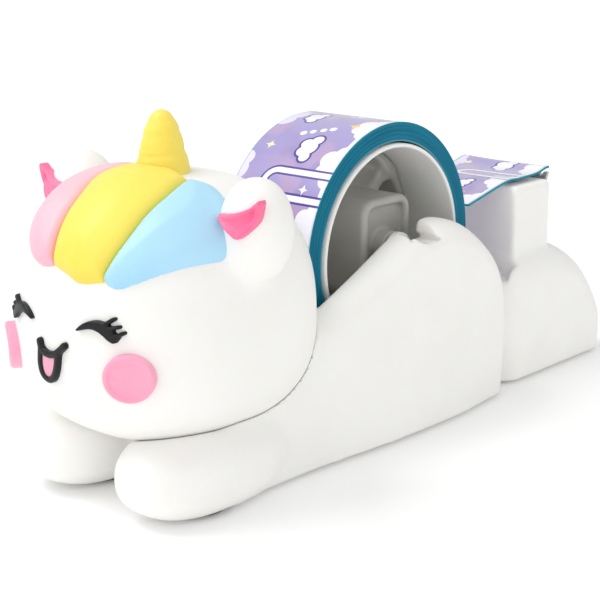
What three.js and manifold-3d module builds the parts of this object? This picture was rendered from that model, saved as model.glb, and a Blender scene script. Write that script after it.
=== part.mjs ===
// A unicorn-shaped desk dispenser for narrow decorative tape.
// Millimetres. +Z is up, the head faces -Y, and the roll turns about X.
// While the pieces are made, y = 0 lies on the roll's axis and z = 0 on the desk; at the
// end everything is moved so that the origin is under the middle of the whole object.
import * as THREE from 'three';
import { mergeVertices } from 'three/addons/utils/BufferGeometryUtils.js';
import Module from 'manifold-3d';

const wasm = await Module();
wasm.setup();

// ---------- driving dimensions ----------

// Tape
const tapeWidth = 19;
const tapeThickness = 0.5;
const rollDiameter = 41.8;
const coreBore = 33.5;
const coreWall = 0.7;
const coreProud = 0.5;

// Roll mounting
const axisHeight = 30.6;
const axleDiameter = 4;
const axleEngagement = 2.8;
const hubBossDiameter = 6;
const hubBlockDepth = 12.4;
const hubBlockHeight = 17;
const hubBlockWall = 1.4;
const hubBlockRecess = 1.6;
const hubBlockCorner = 2.6;
const hubRimWall = 1.6;
const hubRimWidth = 9.5;
const hubSpokes = 4;
const spokeThickness = 2.6;
const washerThickness = 1.2;
const washerDiameter = 6;

// Body
const haunchHalfWidth = 17;
const haunchRear = 28.2;
const haunchHeight = 35.3;
const chestReach = 47.5;
const chestHalfWidth = 15.2;
const bodyRound = 4;
const rumpRear = 64.8;
const rumpHalfWidth = 13.8;
const rumpHeight = 24.4;
const rumpRound = 5.5;
const pawReach = 60.4;
const pawLength = 29;
const pawSpacing = 21;
const pawWidth = 16.4;
const pawHeight = 13.2;
const wellFloor = 1.6;

// Head
const headHalfWidth = 19.8;
const headFront = 23.2;
const headBack = 21;
const headAbove = 22.6;
const headBelow = 16.8;
const headFullness = 2.45;
const headY = -41;
const headZ = 25.6;
const headWall = 2.6;
const neckDiameter = 20;
const neckHeight = 8;

// Face, ears, horn and hair
const cheekDiameter = 7.2;
const cheekThickness = 1.1;
const featureThickness = 0.7;
const mouthStroke = 1.05;
const hornDiameter = 9.4;
const hornHeight = 57.2;
const earHalfWidth = 5.2;
const earHalfHeight = 7.4;
const earInlayThickness = 1.2;
const hairThickness = 2.4;

// Post, blade and tape end
const postHalfWidth = 11.2;
const postFront = 33.6;
const postRear = 45.4;
const postHeight = 36.2;
const postRound = 1.2;
const bladeThickness = 0.6;
const bladeRise = 2.2;
const bladeLean = 0.6;
const bladeToothPitch = 1.3;
const bladeToothDepth = 0.9;
const bladeScrewSpacing = 11;

// Base
const padDiameter = 9;
const padThickness = 1.6;
const padProud = 0.6;
const coverThickness = 1.6;
const screwDiameter = 2.2;
const screwHeadDiameter = 4.4;
const screwHeadHeight = 0.9;
const screwLength = 5;
const ballastHeight = 2.4;
const rearBallastHeight = 11;

// Clearances
const seatGap = 0.3;
const slotClearance = 0.25;
const bearingClearance = 0.25;
const rollClearance = 1.3;
const sideClearance = 2.1;

// ---------- sizes that follow ----------

const rollRadius = rollDiameter / 2;
const coreRadius = coreBore / 2 + coreWall;
const axleRadius = axleDiameter / 2;
const wellHalfWidth = tapeWidth / 2 + sideClearance;
const wellRadius = rollRadius + rollClearance;
const wellBottom = axisHeight - wellRadius;
const cavityCeiling = wellBottom - wellFloor;
const coverTop = padProud + coverThickness;
const headTop = headZ + headAbove;

// ---------- helpers ----------

function solidOf(geometry) {
  const bare = geometry.clone();
  bare.deleteAttribute('normal');
  bare.deleteAttribute('uv');
  const merged = mergeVertices(bare, 1e-4);
  const corners = merged.index.array;
  const whole = [];
  for (let i = 0; i < corners.length; i += 3) {
    const triangle = [corners[i], corners[i + 1], corners[i + 2]];
    if (new Set(triangle).size === 3) whole.push(...triangle);
  }
  return new wasm.Manifold(new wasm.Mesh({
    numProp: 3,
    vertProperties: Float32Array.from(merged.attributes.position.array),
    triVerts: Uint32Array.from(whole),
  }));
}

function geometryOf(solid) {
  const mesh = solid.getMesh();
  const geometry = new THREE.BufferGeometry();
  const positions = Float32Array.from(mesh.vertProperties);
  geometry.setAttribute('position', new THREE.BufferAttribute(positions, 3));
  geometry.setIndex(new THREE.BufferAttribute(Uint32Array.from(mesh.triVerts), 1));
  geometry.computeVertexNormals();
  return geometry;
}

function unite(solids) {
  return solids.reduce((whole, next) => whole.add(next));
}

function cut(solid, tools) {
  return tools.reduce((left, tool) => left.subtract(tool), solid);
}

// An egg: a ball stretched by a different amount in each direction. Fullness 2 is an
// ellipsoid and a larger one is boxier; grow moves the whole skin outwards.
function egg({ at, x, front, back, above, below, fullness = 2, grow = 0, around = 40, rings = 26 }) {
  const geometry = new THREE.SphereGeometry(1, around, rings).rotateX(Math.PI / 2);
  const position = geometry.attributes.position;
  const point = new THREE.Vector3();
  for (let i = 0; i < position.count; i += 1) {
    point.fromBufferAttribute(position, i);
    const reach = [x + grow, (point.y < 0 ? front : back) + grow, (point.z < 0 ? below : above) + grow];
    const powers = point.toArray().map((value, k) => Math.abs(value / reach[k]) ** fullness);
    const sum = powers.reduce((total, value) => total + value, 0);
    point.multiplyScalar(sum ** (-1 / fullness));
    position.setXYZ(i, point.x + at[0], point.y + at[1], point.z + at[2]);
  }
  return solidOf(geometry);
}

function block(x0, x1, y0, y1, z0, z1) {
  const geometry = new THREE.BoxGeometry(x1 - x0, y1 - y0, z1 - z0);
  return solidOf(geometry.translate((x0 + x1) / 2, (y0 + y1) / 2, (z0 + z1) / 2));
}

// A round bar along X.
function barX(radius, x0, x1, y, z, sides = 32) {
  const geometry = new THREE.CylinderGeometry(radius, radius, x1 - x0, sides).rotateZ(Math.PI / 2);
  return solidOf(geometry.translate((x0 + x1) / 2, y, z));
}

// A round bar along Y.
function barY(radius, y0, y1, x, z, sides = 20) {
  const geometry = new THREE.CylinderGeometry(radius, radius, y1 - y0, sides);
  return solidOf(geometry.translate(x, (y0 + y1) / 2, z));
}

// An upright round bar.
function barZ(radius, z0, z1, x, y, sides = 20) {
  const geometry = new THREE.CylinderGeometry(radius, radius, z1 - z0, sides).rotateX(Math.PI / 2);
  return solidOf(geometry.translate(x, y, (z0 + z1) / 2));
}

// A ring along X, its section a rectangle.
function ringX(inner, outer, x0, x1, sides) {
  const section = [[inner, x0], [outer, x0], [outer, x1], [inner, x1], [inner, x0]];
  const geometry = new THREE.LatheGeometry(section.map(([r, x]) => new THREE.Vector2(r, x)), sides);
  return solidOf(geometry.rotateZ(-Math.PI / 2).translate(0, 0, axisHeight));
}

function smoothShape(start, through) {
  const shape = new THREE.Shape();
  shape.moveTo(start[0], start[1]);
  shape.splineThru(through.map(([a, b]) => new THREE.Vector2(a, b)));
  shape.closePath();
  return shape;
}

// A shape drawn in Y and Z and given its width along X.
function sideSolid(shape, x0, x1, curveSegments = 4) {
  const geometry = new THREE.ExtrudeGeometry(shape, { depth: x1 - x0, bevelEnabled: false, curveSegments });
  geometry.translate(0, 0, x0);
  const axesTurned = new THREE.Matrix4().set(0, 0, 1, 0, 1, 0, 0, 0, 0, 1, 0, 0, 0, 0, 0, 1);
  return solidOf(geometry.applyMatrix4(axesTurned));
}

// The same with soft edges: a lathe whose rings follow the outline, each set in towards
// the centre as far as the round needs. widthAt gives the half width at each Y.
function softSolid(shape, centre, widthAt, round, pointsPerCurve, steps = 4) {
  const outline = shape.getPoints(pointsPerCurve);
  if (outline[0].distanceTo(outline[outline.length - 1]) < 1e-6) outline.pop();
  if (THREE.ShapeUtils.isClockWise(outline)) outline.reverse();
  const rings = [{ share: 0, inset: 0, out: 1 }, { share: 0.55, inset: 0, out: 1 }];
  for (let k = 0; k <= steps; k += 1) {
    const turn = (k / steps) * Math.PI / 2;
    const narrowing = round * (1 - Math.cos(turn));
    rings.push({ share: 1, inset: round * (1 - Math.sin(turn)), out: 1 - narrowing / widthAt(centre[0]) });
  }
  const profile = [
    ...rings.map((ring) => ({ ...ring, side: -1 })),
    ...rings.map((ring) => ({ ...ring, side: 1 })).reverse(),
  ];
  const geometry = new THREE.LatheGeometry(
    profile.map((ring, k) => new THREE.Vector2(ring.share, k)), outline.length,
  );
  const position = geometry.attributes.position;
  for (let i = 0; i < position.count; i += 1) {
    const ring = profile[i % profile.length];
    const point = outline[Math.floor(i / profile.length) % outline.length];
    const dy = point.x - centre[0];
    const dz = point.y - centre[1];
    const share = ring.share * (1 - (ring.share < 1 ? round : ring.inset) / Math.hypot(dy, dz));
    const y = centre[0] + dy * share;
    position.setXYZ(i, ring.side * ring.out * widthAt(y), y, centre[1] + dz * share);
  }
  return solidOf(geometry);
}

// A shape drawn in X and Z and run along Y.
function frontSolid(shape, y0, y1, curveSegments = 6) {
  const geometry = new THREE.ExtrudeGeometry(shape, { depth: y1 - y0, bevelEnabled: false, curveSegments });
  return solidOf(geometry.rotateX(Math.PI / 2).translate(0, y1, 0));
}

// A shape drawn in X and Y and raised along Z.
function plate(shape, z0, z1, curveSegments = 6) {
  const geometry = new THREE.ExtrudeGeometry(shape, { depth: z1 - z0, bevelEnabled: false, curveSegments });
  return solidOf(geometry.translate(0, 0, z0));
}

function roundedRectangle(x0, x1, y0, y1, r) {
  const shape = new THREE.Shape();
  shape.moveTo(x0 + r, y0);
  shape.lineTo(x1 - r, y0);
  shape.absarc(x1 - r, y0 + r, r, -Math.PI / 2, 0);
  shape.lineTo(x1, y1 - r);
  shape.absarc(x1 - r, y1 - r, r, 0, Math.PI / 2);
  shape.lineTo(x0 + r, y1);
  shape.absarc(x0 + r, y1 - r, r, Math.PI / 2, Math.PI);
  shape.lineTo(x0, y0 + r);
  shape.absarc(x0 + r, y0 + r, r, Math.PI, 1.5 * Math.PI);
  return shape;
}

const root = new THREE.Group();

function addPart(name, solid, colour, roughness, metalness = 0) {
  const material = new THREE.MeshStandardMaterial({ color: colour, roughness, metalness });
  const mesh = new THREE.Mesh(geometryOf(solid), material);
  mesh.name = name;
  root.add(mesh);
}

// ---------- colours ----------

const white = 0xf6f4ef;
const hairPink = 0xf7b3ca;
const yellow = 0xfbe25c;
const blue = 0x9ed2f3;
const hotPink = 0xf9608f;
const cheekPink = 0xf8a5c0;
const black = 0x17171a;
const steel = 0xb8bcc0;
const frosted = 0xd9dbd7;
const lavender = 0xbba6db;
const cardWhite = 0xeeeeea;
const rubber = 0x6f7275;

// ---------- head ----------

function headForm(grow = 0, around = 32, rings = 20) {
  return egg({
    at: [0, headY, headZ],
    x: headHalfWidth,
    front: headFront,
    back: headBack,
    above: headAbove,
    below: headBelow,
    fullness: headFullness,
    grow,
    around,
    rings,
  });
}

const headSeat = headForm(seatGap);

// A layer of even thickness over the whole head; the hair and the face are cut out of it.
function headSkin(thickness) {
  return headForm(seatGap + thickness).subtract(headSeat);
}

// Room that the roll sweeps as it is lifted straight up out of its slots.
function rollRoom(radius, halfWidth) {
  const resting = barX(radius, -halfWidth, halfWidth, 0, axisHeight, 48);
  const above = block(-halfWidth, halfWidth, -radius, radius, axisHeight, axisHeight + 2 * rollDiameter);
  return resting.add(above);
}

const rollWell = rollRoom(wellRadius, wellHalfWidth);

const earX = 0.92 * headHalfWidth;
const earY = headY - 0.8;
const earZ = headZ + 0.72 * headAbove;

function earLump(side, grow = 0) {
  return egg({
    at: [side * earX, earY, earZ],
    x: earHalfWidth,
    front: earHalfWidth,
    back: earHalfWidth,
    above: earHalfHeight,
    below: earHalfHeight,
    grow,
    around: 18,
    rings: 12,
  });
}

// The coloured front of an ear: a rounded triangle laid over the ear.
function earInlay(side) {
  const shape = new THREE.Shape();
  shape.moveTo(side * -2.8, 1.2);
  shape.quadraticCurveTo(side * -0.4, 1.7, side * 2.2, 3.3);
  shape.quadraticCurveTo(side * 2.6, 0.2, side * 1, -1.8);
  shape.quadraticCurveTo(side * 0.4, -2.2, side * -0.6, -1.2);
  shape.closePath();
  const prism = frontSolid(shape, -2 * earHalfWidth, 0).translate([side * (earX + 0.6), earY, earZ + 1.6]);
  const skin = earLump(side, seatGap + earInlayThickness).subtract(earLump(side, seatGap));
  return cut(skin.intersect(prism), [headSeat]);
}

const headHollow = headForm(-headWall, 20, 12)
  .subtract(rollRoom(wellRadius + headWall, wellHalfWidth + headWall))
  .add(barZ(neckDiameter / 2, 0, headZ, 0, headY, 28));
const headShell = cut(unite([headForm(), earLump(1), earLump(-1)]), [headHollow, rollWell]);
addPart('head_shell', headShell, white, 0.55);

[['left', 1], ['right', -1]].forEach(([name, side]) => {
  addPart(`ear_inner_${name}`, earInlay(side), hotPink, 0.5);
});

// ---------- horn ----------

const hornRadius = hornDiameter / 2;
const hornBase = headTop - 3;
const hornProfile = [
  [0, hornBase],
  [hornRadius, hornBase],
  [hornRadius * 0.98, headTop + 0.4],
  [hornRadius * 0.9, headTop + 2.2],
  [hornRadius * 0.8, headTop + 3],
  [hornRadius * 0.74, headTop + 4.6],
  [hornRadius * 0.62, headTop + 5.4],
  [hornRadius * 0.55, hornHeight - 2],
  [hornRadius * 0.4, hornHeight - 0.8],
  [hornRadius * 0.2, hornHeight - 0.15],
  [0, hornHeight],
];
const hornBody = solidOf(new THREE.LatheGeometry(hornProfile.map(([r, z]) => new THREE.Vector2(r, z)), 24)
  .rotateX(Math.PI / 2).translate(0, headY - 0.8, 0));
addPart('horn', hornBody.subtract(headSeat), yellow, 0.5);
const hornKeepOut = barZ(hornRadius + seatGap, hornBase, hornHeight, 0, headY - 0.8, 32);

// ---------- hair ----------

// The locks are drawn on a plane that leans back over the forehead. Its first axis runs
// across the head and its second runs from the crown (0) down to the brow (negative).
const hairLean = THREE.MathUtils.degToRad(38);
const hairUp = new THREE.Vector3(0, Math.cos(hairLean), Math.sin(hairLean));
const hairOut = new THREE.Vector3(0, -Math.sin(hairLean), Math.cos(hairLean));
const hairPlane = new THREE.Matrix4().makeBasis(new THREE.Vector3(1, 0, 0), hairUp, hairOut)
  .setPosition(0, headY, headZ);

function hairLock(start, ...edges) {
  const shape = new THREE.Shape();
  shape.moveTo(start[0], start[1]);
  edges.forEach((edge) => shape.splineThru(edge.map(([a, b]) => new THREE.Vector2(a, b))));
  shape.closePath();
  const settings = { depth: 2 * headFront, bevelEnabled: false, curveSegments: 3 };
  const geometry = new THREE.ExtrudeGeometry(shape, settings);
  return solidOf(geometry.applyMatrix4(hairPlane));
}

function shifted(points, by) {
  return points.map(([a, b]) => [a + by, b]);
}

const hairSkin = headSkin(hairThickness).subtract(hornKeepOut);
const partingPink = [[-2.6, 12.5], [-4.6, 9], [-4.8, 5.4], [-3.4, 1.1], [-2.6, -3.5], [-1.8, -7], [-1, -9.6]];
const partingBlue = [[7.4, 11.2], [8.8, 6], [9.2, 1], [9.2, -3.6], [8.2, -9.6]];
const halfParting = seatGap / 2;

const pinkLock = hairLock(
  [partingPink[0][0] - halfParting, partingPink[0][1]],
  shifted(partingPink.slice(1), -halfParting),
  [
    [-4, -9.8], [-7.6, -8.2], [-11, -4], [-12.8, 1], [-12, 6.4], [-8.4, 11.4],
    shifted(partingPink, -halfParting)[0],
  ],
);
const yellowLock = hairLock(
  [partingPink[0][0] + halfParting, partingPink[0][1]],
  shifted(partingPink.slice(1), halfParting),
  [[1.6, -11], [4.6, -11.2], [partingBlue[4][0] - halfParting, partingBlue[4][1]]],
  shifted(partingBlue, -halfParting).reverse().slice(1),
  [[3, 12.6], [partingPink[0][0] + halfParting, partingPink[0][1]]],
);
const blueLock = hairLock(
  [partingBlue[0][0] + halfParting, partingBlue[0][1]],
  shifted(partingBlue.slice(1), halfParting),
  [[10.2, -9.8], [12.4, -8.4], [15.2, -4.4], [16.8, 1], [17, 6.4], [15, 9.8], [12, 11.8]],
  [[10, 12.4], [partingBlue[0][0] + halfParting, partingBlue[0][1]]],
);
const earRoom = [-1, 1].map((side) => earLump(side, seatGap + earInlayThickness));
addPart('hair_lock_pink', cut(hairSkin.intersect(pinkLock), earRoom), hairPink, 0.5);
addPart('hair_lock_yellow', hairSkin.intersect(yellowLock), yellow, 0.5);
addPart('hair_lock_blue', cut(hairSkin.intersect(blueLock), earRoom), blue, 0.5);

// ---------- face ----------

const featureSkin = headSkin(featureThickness);
const faceFront = headY - 2 * headFront;

// A straight stroke with round ends.
function stroke([x0, z0], [x1, z1], width) {
  const angle = Math.atan2(z1 - z0, x1 - x0);
  const shape = new THREE.Shape();
  shape.absarc(x0, z0, width / 2, angle + Math.PI / 2, angle + 1.5 * Math.PI);
  shape.absarc(x1, z1, width / 2, angle - Math.PI / 2, angle + Math.PI / 2);
  shape.closePath();
  return frontSolid(shape, faceFront, headY, 4);
}

// A bent stroke of even width: an arc about (x, z).
function bow(x, z, radius, width, from, to) {
  const shape = new THREE.Shape();
  shape.absarc(x, z, radius + width / 2, from, to);
  shape.absarc(x, z, radius - width / 2, to, from, true);
  shape.closePath();
  return frontSolid(shape, faceFront, headY, 12);
}

// A closed, smiling eye with three lashes at its outer end.
const faceShift = 0.6;
const eyeInner = 4.4;
const eyeZ = headZ + 4.1;

function eye(side) {
  const at = (a, b) => [faceShift + side * (eyeInner + a), eyeZ + b];
  const lid = new THREE.Shape();
  lid.moveTo(...at(0, 0));
  lid.quadraticCurveTo(...at(2.2, 2.5), ...at(4.4, 1.3));
  lid.quadraticCurveTo(...at(5.8, 0.5), ...at(6, -0.7));
  lid.quadraticCurveTo(...at(5.8, -1.6), ...at(4.9, -0.9));
  lid.quadraticCurveTo(...at(3.2, 0.6), ...at(0, -0.2));
  lid.closePath();
  const lashes = [[[4.2, 0.9], [5.3, 1.8]], [[4.8, 0.4], [5.9, 0.8]], [[5.4, -0.5], [6.5, 0.1]]];
  const strokes = lashes.map(([from, to]) => stroke(at(...from), at(...to), 0.6));
  return featureSkin.intersect(unite([frontSolid(lid, faceFront, headY, 8), ...strokes]));
}

addPart('eye_left', eye(1), black, 0.25);
addPart('eye_right', eye(-1), black, 0.25);

// The mouth: a smiling line with an open, round-bottomed lower lip hanging from it.
const smileX = 0.2;
const smileZ = headZ + 0.4;
const smileHalf = 2.7;
const lipHalf = 1.7;
const lipDrop = 2.9;
const smileSag = 1.5;
const smileRadius = (smileHalf ** 2 + smileSag ** 2) / (2 * smileSag);
const smileReach = Math.asin(smileHalf / smileRadius);

function lipShape(inset) {
  const shape = new THREE.Shape();
  const half = lipHalf - inset;
  shape.moveTo(smileX - half - 0.15, smileZ);
  shape.lineTo(smileX - half, smileZ - lipDrop + 1);
  shape.absarc(smileX, smileZ - lipDrop, half, Math.PI, 2 * Math.PI);
  shape.lineTo(smileX + half + 0.15, smileZ);
  shape.closePath();
  return shape;
}

const lipOuter = frontSolid(lipShape(-mouthStroke / 2), faceFront, headY, 8);
const lipInner = frontSolid(lipShape(mouthStroke / 2), faceFront, headY, 8);
const smileTop = smileZ - mouthStroke / 2 + smileRadius;
const smile = bow(
  smileX, smileTop, smileRadius, mouthStroke, -Math.PI / 2 - smileReach, -Math.PI / 2 + smileReach,
);
const aboveSmile = barY(smileRadius + 0.01, faceFront, headY, smileX, smileTop, 48);
const mouth = unite([lipOuter.subtract(lipInner).subtract(aboveSmile), smile]);
addPart('mouth_outline', featureSkin.intersect(mouth), black, 0.25);

const tongueForm = frontSolid(lipShape(mouthStroke / 2 + seatGap), faceFront, headY, 8);
const tongueTop = barY(
  smileRadius + mouthStroke / 2 + seatGap, faceFront, headY, smileX, smileTop, 48,
);
addPart('tongue', featureSkin.intersect(tongueForm.subtract(tongueTop)), hairPink, 0.5);

const cheekX = 12.6;
const cheekZ = headZ - 2;
const cheekTurn = 35;

[['left', 1], ['right', -1]].forEach(([name, side]) => {
  const disc = barY(cheekDiameter / 2, -headFront, 0, 0, 0, 36)
    .rotate([0, 0, side * cheekTurn])
    .translate([side * (cheekX - 12), headY - 3.6, cheekZ]);
  addPart(`cheek_${name}`, headSkin(cheekThickness).intersect(disc), cheekPink, 0.5);
});

// ---------- body ----------

// The outline from the side: chest, the long rising edge of the well, and the haunch.
const flankTop = haunchHeight;
const flankShape = smoothShape([-chestReach + 1.5, padProud], [
  [-chestReach, 8],
  [-chestReach + 3.5, 17],
  [-36, 22],
  [-28, 23.4],
  [-21.4, flankTop - 9.8],
  [-13.6, flankTop - 6.4],
  [-7.4, flankTop - 3.4],
  [-2.6, flankTop - 1.3],
  [3, flankTop - 0.2],
  [6.8, flankTop],
  [13.2, flankTop - 1.9],
  [haunchRear - 8.4, flankTop - 5.8],
  [haunchRear - 3.4, flankTop - 10.4],
  [haunchRear - 0.8, flankTop - 16.2],
  [haunchRear, flankTop - 23.3],
  [haunchRear - 0.6, 5],
  [haunchRear - 2, padProud],
]);

// The body narrows from the haunches towards the chest and a little towards the rear.
function flankWidth(y) {
  const towardsChest = THREE.MathUtils.smoothstep(-y, 0, 32);
  const towardsRear = THREE.MathUtils.smoothstep(y, 8, haunchRear);
  return haunchHalfWidth - towardsChest * (haunchHalfWidth - chestHalfWidth) - towardsRear * 1.6;
}

const flank = softSolid(flankShape, [-6, 15], flankWidth, bodyRound, 2, 3);

const rumpShape = smoothShape([30, padProud], [
  [27.4, 10],
  [30, rumpHeight - 2.4],
  [38, rumpHeight],
  [46.3, rumpHeight - 0.2],
  [rumpRear - 9, rumpHeight - 4.8],
  [rumpRear - 2.5, rumpHeight - 12],
  [rumpRear, rumpHeight - 18],
  [rumpRear - 1, padProud],
]);
const rump = softSolid(rumpShape, [45, 10], () => rumpHalfWidth, rumpRound, 3, 3);

function paw(side) {
  return egg({
    at: [side * pawSpacing / 2, -pawReach + pawLength / 2, pawHeight / 2],
    x: pawWidth / 2,
    front: pawLength / 2,
    back: pawLength / 2,
    above: pawHeight / 2,
    below: pawHeight / 2 + padProud,
    fullness: 2.4,
    around: 20,
    rings: 12,
  });
}

const postOutline = roundedRectangle(-postHalfWidth, postHalfWidth, postFront, postRear, postRound);
const postFoot = 12;
const post = plate(postOutline, postFoot, postHeight);
const spigot = barZ(neckDiameter / 2 - seatGap, 6, headZ - headBelow + headWall + neckHeight, 0, headY, 28);
const channelLow = axisHeight - 11;
const channel = block(
  -wellHalfWidth, wellHalfWidth, wellRadius / 2, postFront, channelLow, 2 * haunchHeight,
);

// The mouth of each bearing slot: open across the wall, hooked under the haunch.
const mouthShape = new THREE.Shape();
mouthShape.moveTo(-3.4, flankTop + 2);
mouthShape.lineTo(-2.4, flankTop - 1);
mouthShape.quadraticCurveTo(-1.4, flankTop - 2.2, 0.4, flankTop - 2.9);
mouthShape.lineTo(4.2, flankTop - 2.8);
mouthShape.lineTo(2.6, flankTop - 1.7);
mouthShape.lineTo(2.7, flankTop - 0.9);
mouthShape.quadraticCurveTo(3, flankTop + 0.4, 4.6, flankTop + 2);
mouthShape.closePath();
const slotMouth = sideSolid(mouthShape, -1.5 * haunchHalfWidth, 1.5 * haunchHalfWidth);

const slotHalfWidth = axleRadius + slotClearance;
const slotReach = wellHalfWidth + axleEngagement + 2 * seatGap;
const slots = barX(slotHalfWidth, -slotReach, slotReach, 0, axisHeight, 32)
  .add(block(-slotReach, slotReach, -slotHalfWidth, slotHalfWidth, axisHeight, 2 * haunchHeight));

// Underneath: a recess for the cover, a hollow for the weights and four bosses for the screws.
const coverFront = -36;
const coverRear = 48;
const coverHalfWidth = 10.8;
const coverCorner = 4;
const hollowInset = 1.6;
const bossRadius = 2.6;
const bossX = 6.2;
const bossY = [-31, 28.6];
const coverRecess = plate(
  roundedRectangle(-coverHalfWidth, coverHalfWidth, coverFront, coverRear, coverCorner),
  -1, coverTop + seatGap,
);
const hollowShape = roundedRectangle(
  -coverHalfWidth + hollowInset, coverHalfWidth - hollowInset,
  coverFront + hollowInset, coverRear - hollowInset,
  coverCorner - hollowInset,
);
const rearHollow = roundedRectangle(
  -coverHalfWidth + hollowInset, coverHalfWidth - hollowInset,
  bossY[1] + bossRadius + seatGap, coverRear - hollowInset,
  coverCorner - hollowInset,
);
const rearBallastTop = coverTop + 2 * seatGap + rearBallastHeight;
const hollow = plate(hollowShape, 0, cavityCeiling).add(plate(rearHollow, 0, rearBallastTop + seatGap));
const screwPlaces = bossY.flatMap((y) => [[bossX, y], [-bossX, y]]);
const bosses = screwPlaces.map(
  ([x, y]) => barZ(bossRadius, coverTop + seatGap, cavityCeiling + 0.4, x, y, 16),
);
const pilots = screwPlaces.map(([x, y]) => barZ(
  screwDiameter / 2 + seatGap, 0, padProud + screwLength + seatGap, x, y, 16,
));

const padPlaces = [
  ['front_left', pawSpacing / 2, -47],
  ['front_right', -pawSpacing / 2, -47],
  ['rear_left', 5.4, 55],
  ['rear_right', -5.4, 55],
];
const padPockets = padPlaces.map(
  ([, x, y]) => barZ(padDiameter / 2 + seatGap, -1, padThickness + seatGap, x, y, 20),
);

const bladeScrewZ = postHeight - 5.4;
const bladeScrewX = [bladeScrewSpacing / 2, -bladeScrewSpacing / 2];
const bladeScrewHoles = bladeScrewX.map((x) => barY(
  screwDiameter / 2 + seatGap, postRear - screwLength - seatGap, postRear + 5, x, bladeScrewZ, 16,
));

const outside = unite([flank, rump, paw(1), paw(-1)]);
const aboveDesk = block(-60, 60, -90, 90, padProud, 90);
const trunk = cut(outside.add(post).intersect(aboveDesk), [
  headSeat, rollWell, channel, slotMouth, slots, coverRecess, hollow, ...padPockets,
]);
const bodyShell = cut(unite([trunk, spigot, ...bosses]), [...pilots, ...bladeScrewHoles, coverRecess]);
addPart('body_shell', bodyShell, white, 0.55);

// ---------- underside ----------

const coverPlate = plate(
  roundedRectangle(
    -coverHalfWidth + seatGap, coverHalfWidth - seatGap,
    coverFront + seatGap, coverRear - seatGap, coverCorner,
  ), padProud, coverTop,
);
const headRecess = screwHeadHeight + 0.2;
const coverHoles = screwPlaces.flatMap(([x, y]) => [
  barZ(screwDiameter / 2 + seatGap, -1, coverTop + 1, x, y, 16),
  barZ(screwHeadDiameter / 2 + seatGap, -1, padProud + headRecess, x, y, 16),
]);
addPart('base_cover', cut(coverPlate, coverHoles), white, 0.6);

// A pan-head screw standing on its head at the origin, with a cross recess.
function screw() {
  const profile = [
    [0, 0],
    [screwHeadDiameter / 2 - 0.3, 0],
    [screwHeadDiameter / 2, 0.3],
    [screwHeadDiameter / 2, screwHeadHeight],
    [screwDiameter / 2, screwHeadHeight],
    [screwDiameter / 2, screwLength - 0.8],
    [0, screwLength],
  ];
  const body = solidOf(new THREE.LatheGeometry(profile.map(([r, z]) => new THREE.Vector2(r, z)), 12)
    .rotateX(Math.PI / 2));
  return cut(body, [block(-1.2, 1.2, -0.25, 0.25, -1, 0.5), block(-0.25, 0.25, -1.2, 1.2, -1, 0.5)]);
}

screwPlaces.forEach(([x, y], i) => {
  addPart(`base_screw_${i + 1}`, screw().translate([x, y, padProud + 0.2 - seatGap / 2]), steel, 0.35, 1);
});

padPlaces.forEach(([name, x, y]) => {
  const profile = [
    [0, 0],
    [padDiameter / 2 - 0.4, 0],
    [padDiameter / 2, 0.4],
    [padDiameter / 2, padThickness],
    [0, padThickness],
  ];
  const points = profile.map(([r, z]) => new THREE.Vector2(r, z));
  const pad = new THREE.LatheGeometry(points, 20).rotateX(Math.PI / 2);
  addPart(`foot_pad_${name}`, solidOf(pad).translate([x, y, 0]), rubber, 0.9);
});

const ballastHalfWidth = coverHalfWidth - hollowInset - seatGap;
const ballastZ = coverTop + seatGap;
addPart('ballast_plate', plate(
  roundedRectangle(
    -ballastHalfWidth, ballastHalfWidth, bossY[0] + bossRadius + seatGap, bossY[1] - bossRadius - seatGap, 1,
  ), ballastZ, ballastZ + ballastHeight,
), steel, 0.5, 1);
addPart('ballast_block', plate(
  roundedRectangle(
    -ballastHalfWidth, ballastHalfWidth,
    bossY[1] + bossRadius + 2 * seatGap, coverRear - hollowInset - seatGap, 2,
  ), ballastZ, ballastZ + rearBallastHeight,
), steel, 0.5, 1);

// ---------- blade ----------

const bladeFront = postRear + seatGap;
const bladeBottom = postHeight - 8.6;
const bladeBend = postHeight - 0.4;
const bladeTip = postHeight + bladeRise - 1.2;
const bladeShape = new THREE.Shape();
bladeShape.moveTo(bladeFront, bladeBottom);
bladeShape.lineTo(bladeFront + bladeThickness, bladeBottom);
bladeShape.lineTo(bladeFront + bladeThickness, bladeBend);
bladeShape.lineTo(bladeFront + bladeThickness + bladeLean, bladeTip);
bladeShape.lineTo(bladeFront + bladeLean - 0.1, bladeTip);
bladeShape.lineTo(bladeFront, bladeBend + 0.2);
bladeShape.closePath();
const bladeHalfWidth = tapeWidth / 2 + 0.2;
const bladeStrip = sideSolid(bladeShape, -bladeHalfWidth, bladeHalfWidth);
const toothCount = Math.floor((2 * bladeHalfWidth) / bladeToothPitch);
const toothGap = new THREE.Shape();
toothGap.moveTo(-bladeToothPitch / 2 + 0.06, bladeTip + 0.1);
toothGap.lineTo(0, bladeTip - bladeToothDepth);
toothGap.lineTo(bladeToothPitch / 2 - 0.06, bladeTip + 0.1);
toothGap.closePath();
const gapCutter = frontSolid(toothGap, postRear - 2, postRear + 8);
const toothGaps = Array.from({ length: toothCount }, (_, i) => gapCutter.translate(
  [(i - (toothCount - 1) / 2) * bladeToothPitch, 0, 0],
));
const bladeHoles = bladeScrewX.map(
  (x) => barY(screwDiameter / 2 + seatGap, postRear - 1, postRear + 5, x, bladeScrewZ, 16),
);
addPart('cutter_blade', cut(bladeStrip, [...toothGaps, ...bladeHoles]), steel, 0.3, 1);

bladeScrewX.forEach((x, i) => {
  const turned = screw().rotate([90, 0, 0]).translate(
    [x, bladeFront + bladeThickness + seatGap + screwHeadHeight, bladeScrewZ],
  );
  addPart(`blade_screw_${i + 1}`, turned, steel, 0.35, 1);
});

// ---------- tape ----------

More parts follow.
